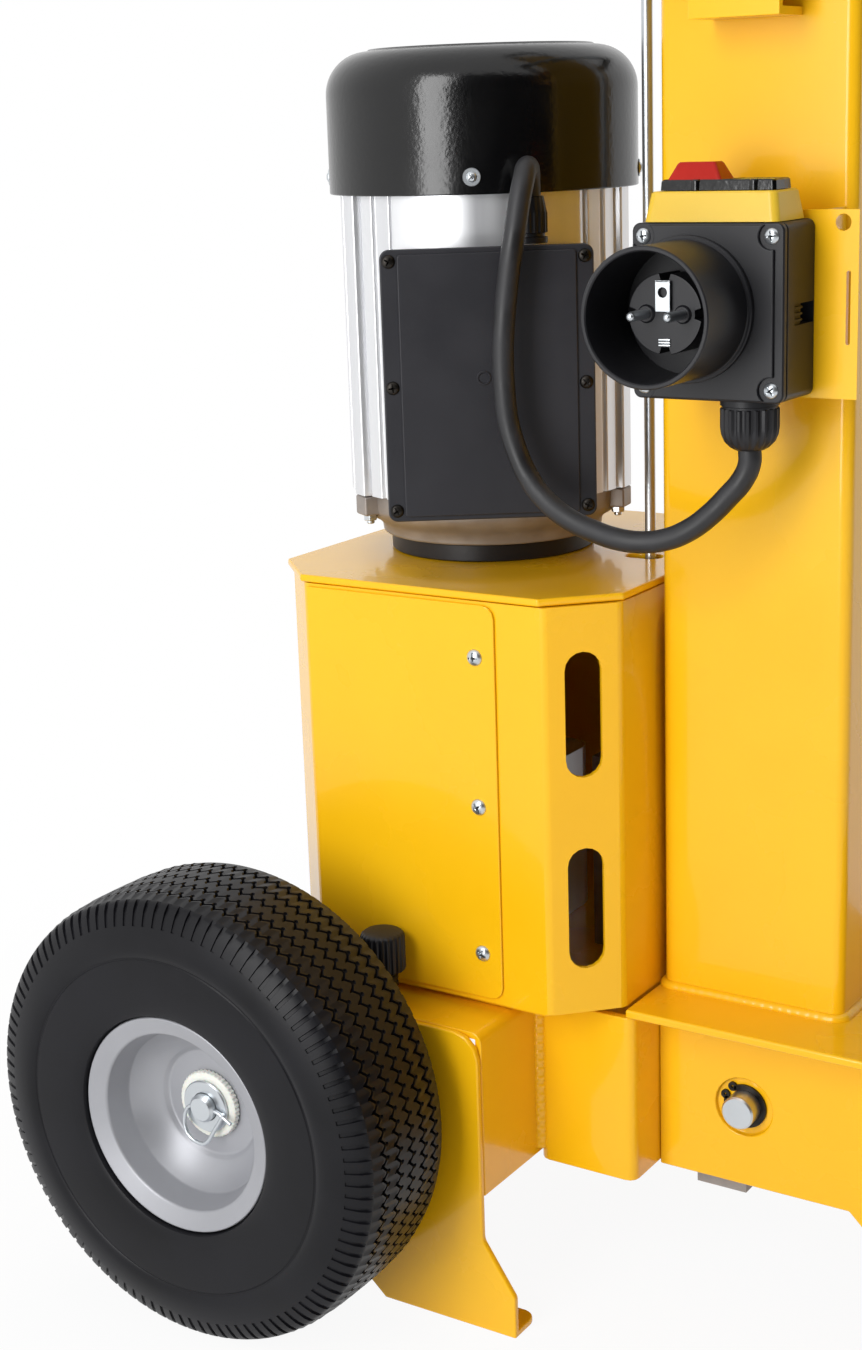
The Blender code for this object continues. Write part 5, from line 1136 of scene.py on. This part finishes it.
head = add_node(screw_tree, "GeometryNodeMeshBoolean", {"Mesh 1": dome, "Mesh 2": [first, second]},
                operation="DIFFERENCE")
facing = add_node(screw_tree, "GeometryNodeInputNamedAttribute", {"Name": "facing"}, data_type="FLOAT_VECTOR")
aimed = add_node(screw_tree, "FunctionNodeAlignRotationToVector", {"Vector": facing}, axis="Z")
chance = add_node(screw_tree, "FunctionNodeRandomValue",
                  {RANDOM_LOW: 0.0, RANDOM_HIGH: math.pi / 2, RANDOM_SEED: SPIN_SEED}, RANDOM_VALUE,
                  data_type="FLOAT")
spun = add_node(screw_tree, "FunctionNodeAxisAngleToRotation", {"Axis": (0, 0, 1), "Angle": chance})
turned_in = add_node(screw_tree, "FunctionNodeRotateRotation", {"Rotation": aimed, "Rotate By": spun},
                     rotation_space="LOCAL")
placed = add_node(screw_tree, "GeometryNodeInstanceOnPoints",
                  {"Points": given["Geometry"], "Instance": head, "Rotation": turned_in})
end_tree(screw_tree, placed, given["Metal"])
print("screw tree nodes:", len(screw_tree.nodes))

# %% [markdown]
# Black screws hold the terminal lid, bright ones the switch cover, the door and the cowl.
# The cowl's screws have washers.

# %% Screws
FRONT = (0, -1, 0)
LID_SCREW_X, LID_SCREW_INSET = 51.0, 6.0
DOOR_SCREW_INSET, DOOR_SCREWS = 11.8, (25.8, 110.0, 192.9)
COWL_SCREWS, COWL_SCREW_RISE, COWL_SCREW_TURN = 4, 9.0, MOTOR_TURN - 6.0
WASHER_PROUD = 0.8
COWL_WASHER = [(2.0, 0), (4.6, 0), (4.8, 0.3), (4.6, 0.9), (2.0, 0.9)]


def screws(name, spots, facing, slot, radius, height):
    """Cross-head screws at spots in millimetres, all facing one way."""
    points = bpy.data.meshes.new(name + "_points")
    points.from_pydata([tuple(Vector(spot) * MM) for spot in spots], [], [])
    heading = points.attributes.new("facing", "FLOAT_VECTOR", "POINT")
    heading.data.foreach_set("vector", [c for spot in spots for c in facing])
    inputs = {"Head size": (radius * MM, radius * MM, height * MM),
              "Cross size": (radius * 1.3 * MM, radius * 0.24 * MM, height * 1.2 * MM),
              "Cross lift": (0.0, 0.0, height * 0.9 * MM), "Metal": finishes[slot]}
    run_tree(name, points, screw_tree, inputs, 35)


def outward(degrees):
    """A level direction, turned from the machine's right."""
    return Vector((math.sin(math.radians(degrees)), -math.cos(math.radians(degrees)), 0))


spots = [lid_place @ Vector((x, STRIP_DEPTH - LID_FACE, z)) for x in (-LID_SCREW_X, LID_SCREW_X)
         for z in (lid_low + LID_SCREW_INSET, lid_middle, lid_high - LID_SCREW_INSET)]
screws("terminal_lid_screws", spots, outward(MOTOR_TURN), "dark_steel", radius=3.6, height=1.9)
spots = [(x, switch_face, z) for x, z in pocket_spots]
screws("switch_cover_screws", spots, FRONT, "bare_steel", radius=3.9, height=2.0)
low, high = box_mm("pump_house_door")
spots = [(high.x - DOOR_SCREW_INSET, low.y, low.z + rise) for rise in DOOR_SCREWS]
screws("door_screws", spots, FRONT, "bare_steel", radius=4.6, height=2.6)
low, high = box_mm("fan_cowl")
washers = []
for quarter in range(COWL_SCREWS):
    aim = outward(COWL_SCREW_TURN + 90 * quarter)
    spot = Vector((motor_x, motor_y, low.z + COWL_SCREW_RISE)) + aim * COWL_RADIUS
    screws(f"cowl_screw_{quarter}", [spot + aim * WASHER_PROUD], aim, "bare_steel", radius=2.8, height=1.6)
    washer = turned(COWL_WASHER, 0, 0, "Z", 32, True)
    washer.transform(turned_to(spot, aim))
    washers.append(washer)
add_piece("cowl_washers", joined(washers), "bare_steel")
print("cowl screws:", COWL_SCREWS)

# %% [markdown]
# The tie bolts come through the ears and end in hexagon nuts. Each is a six-sided prism with
# rounded edges and a round thread end below it.

# %% Tie-bolt nuts
NUT_REACH, NUT_RADIUS, NUT_HEIGHT = 77.5, 4.0, 3.4
THREAD_RADIUS, THREAD_LENGTH, THREAD_CHAMFER = 2.2, 5.4, 0.5
thread_end = ear_foot - THREAD_LENGTH
thread = [(0, thread_end), (THREAD_RADIUS - THREAD_CHAMFER, thread_end),
          (THREAD_RADIUS, thread_end + THREAD_CHAMFER), (THREAD_RADIUS, ear_foot), (0, ear_foot)]
nuts = []
for bolt in TIE_BOLTS:
    hexagon = prism(circle(NUT_REACH, 0, NUT_RADIUS, 6), ear_foot - NUT_HEIGHT, ear_foot)
    for part in (round_edges(hexagon, 0.4, 2), turned(thread, NUT_REACH, 0, "Z", 20)):
        part.transform(motor_turn @ rotation(bolt))
        nuts.append(part)
add_piece("tie_bolt_nuts", joined(nuts), "bare_steel")
print("tie-bolt nuts:", len(TIE_BOLTS))

# %% [markdown]
# Fillet welds join the column to the platform and the axle beam to the chassis box. A weld bead
# follows a line, so a second tree sweeps a circle along it and lets its radius ripple, as the
# weld pool freezes step by step. The paint covers it.

# %% Weld beads
BEAD_STEP, RIPPLE_LENGTH = 0.0008, 5.2
COLUMN_CORNER = 6
SEAM_INSET, SEAM_RISE, SEAM_FALL = 2, 4, 3
bead_tree, given = new_tree("weld_bead", {
    "Bead radius": "NodeSocketFloat", "Ripples per metre": "NodeSocketFloat",
    "Ripple height": "NodeSocketFloat", "Paint": "NodeSocketMaterial"})
even = add_node(bead_tree, "GeometryNodeResampleCurve", {"Curve": given["Geometry"], "Length": BEAD_STEP},
                mode="LENGTH")
along = add_node(bead_tree, "GeometryNodeSplineParameter", output="Length")
wave = maths(bead_tree, "SINE", maths(bead_tree, "MULTIPLY", along, given["Ripples per metre"]))
swell = maths(bead_tree, "MULTIPLY_ADD", wave, given["Ripple height"], given["Bead radius"])
round_wire = add_node(bead_tree, "GeometryNodeCurvePrimitiveCircle", {"Resolution": 10, "Radius": 1.0})
swept = add_node(bead_tree, "GeometryNodeCurveToMesh",
                 {"Curve": even, "Profile Curve": round_wire, "Scale": swell, "Fill Caps": True})
end_tree(bead_tree, swept, given["Paint"])


def weld(name, lines, radius, ripple):
    """Weld beads along lines of points in millimetres."""
    curve = bpy.data.curves.new(name + "_line", "CURVE")
    curve.dimensions = "3D"
    for points in lines:
        path = curve.splines.new("POLY")
        path.points.add(len(points) - 1)
        for bead, place in zip(path.points, points):
            bead.co = (*(Vector(place) * MM), 1)
    inputs = {"Bead radius": radius * MM, "Ripples per metre": 2 * math.pi / (RIPPLE_LENGTH * MM),
              "Ripple height": ripple * MM, "Paint": finishes["yellow_paint"]}
    run_tree(name, curve, bead_tree, inputs, 60)


low, high = box_mm("column")
foot = [(x, y, low.z) for x, y in rectangle(low.x, high.x, low.y, high.y, COLUMN_CORNER)]
weld("column_foot_weld", [foot + foot[:1]], radius=3.4, ripple=0.04)
low, high = box_mm("chassis_box")
beam_low, _ = box_mm("axle_beam")
seams = [[(low.x, y, beam_low.z + SEAM_RISE), (low.x, y, high.z - SEAM_FALL)]
         for y in (low.y + SEAM_INSET, high.y - SEAM_INSET)]
weld("chassis_welds", seams, radius=4.6, ripple=0.3)
print("chassis welds:", len(seams))

# %% [markdown]
# What is hidden inside, the ram and the carry handle keep their CAD shape and get a finish.

# %% Pieces with their CAD shape
PLAIN_PIECES = {
    "column_guide": "cream_nylon", "ram_tube": "bare_steel", "cylinder_barrel": "dark_steel",
    "piston_rod": "cast_grey", "gear_pump": "aluminium", "control_valve": "cast_grey",
    "upper_end_shield": "cast_grey", "rotor": "bare_steel", "shaft_coupling": "cast_grey",
    "cooling_fan": "black_plastic", "carry_handle": "black_paint",
}
for node, slot in PLAIN_PIECES.items():
    nodes[node].data.materials.clear()
    nodes[node].data.materials.append(finishes[slot])
print("plain pieces:", len(PLAIN_PIECES))

# %% [markdown]
# The studio is white behind the machine and dark behind the camera, as in a photographer's room:
# black gloss then stays black where it faces the camera. A tall softbox stands square to the
# machine's side. The world is white to the camera, to mirrors and to glass.

# %% Stage and light
MACHINE, MACHINE_FOOT = Vector((-0.3, 0.0, 0.42)), (-0.3, 0.0, 0.0)
FLOOR_HALF = 6.0
SHADOW_REACH, WHITE_REACH, SHADOW_GLOW = 0.35, 0.8, 0.93
WHITE = (1, 1, 1, 1)
AMBIENT = 0.4


def studio_sheet(name, half, colour, roughness):
    """A square sheet of the studio, and the shader of its matt paint."""
    mesh = bpy.data.meshes.new(name)
    mesh.from_pydata([(x, y, 0) for x, y in rectangle(-half, half, -half, half)], [], [(0, 1, 2, 3)])
    paint = bpy.data.materials.new(name)
    paint.use_nodes = True
    matt = paint.node_tree.nodes["Principled BSDF"]
    matt.inputs["Base Color"].default_value = linear(colour)
    matt.inputs["Roughness"].default_value = roughness
    mesh.materials.append(paint)
    return linked(name, mesh), matt


def seen_directly(tree):
    """One for what the camera or a mirror sees, else nought, and all the sorts of rays."""
    rays = tree.nodes.new("ShaderNodeLightPath").outputs
    return maths(tree, "MAXIMUM", rays["Is Camera Ray"], rays["Is Glossy Ray"]), rays


floor, matt = studio_sheet("studio_floor", FLOOR_HALF, "#F2F2F2", 0.9)
matt.inputs["Specular IOR Level"].default_value = 0.0
tree = matt.id_data
seen, _ = seen_directly(tree)
spot = add_node(tree, "ShaderNodeTexCoord", output="Object")
spot = add_node(tree, "ShaderNodeVectorMath", {0: spot, 1: MACHINE_FOOT}, "Value", operation="DISTANCE")
fade = add_node(tree, "ShaderNodeMapRange", {"Value": spot, "From Min": SHADOW_REACH, "From Max": WHITE_REACH,
                                             "To Min": SHADOW_GLOW, "To Max": 1.0})
share = maths(tree, "MULTIPLY", seen, fade)
glow = add_node(tree, "ShaderNodeEmission", {"Color": WHITE, "Strength": 1.0})
blend = add_node(tree, "ShaderNodeMixShader", {0: share, 1: matt.outputs["BSDF"], 2: glow})
tree.links.new(blend, tree.nodes["Material Output"].inputs["Surface"])

world = bpy.data.worlds.new("white_studio")
bpy.context.scene.world = world
world.use_nodes = True
tree = world.node_tree
tree.nodes.clear()
seen, rays = seen_directly(tree)
seen = maths(tree, "MAXIMUM", seen, rays["Is Transmission Ray"])
level = add_node(tree, "ShaderNodeMapRange", {"Value": seen, "To Min": AMBIENT, "To Max": 1.0})
sky = add_node(tree, "ShaderNodeBackground", {"Color": WHITE, "Strength": level})
add_node(tree, "ShaderNodeOutputWorld", {"Surface": sky})


def softbox(name, direction, distance, width, height, power):
    """A rectangular lamp that faces the machine."""
    lamp = bpy.data.lights.new(name, "AREA")
    lamp.shape = "RECTANGLE"
    lamp.size = width
    lamp.size_y = height
    lamp.energy = power
    holder = linked(name, lamp)
    aim = Vector(direction).normalized()
    holder.matrix_world = turned_to(MACHINE + aim * distance, aim)
    return holder


def dark_card(name, direction, distance, half):
    """A black card that only reflections meet."""
    card, _ = studio_sheet(name, half, "#0C0C0C", 1.0)
    aim = Vector(direction).normalized()
    card.data.transform(turned_to(MACHINE + aim * distance, aim))
    card.visible_camera = False
    card.visible_diffuse = False
    card.visible_shadow = False


softbox("side_softbox", (-0.12, -1.0, 0.3), distance=2.0, width=0.7, height=1.9, power=31)
overhead = softbox("top_softbox", (-0.2, 0.1, 1.0), distance=2.2, width=1.4, height=1.4, power=13)
overhead.visible_glossy = False
dark_card("dark_room_front", (0.5, -0.86, 0.1), distance=3.0, half=2.4)
dark_card("dark_room_right", (1.0, 0.15, 0.1), distance=2.6, half=1.7)
print("studio ready")
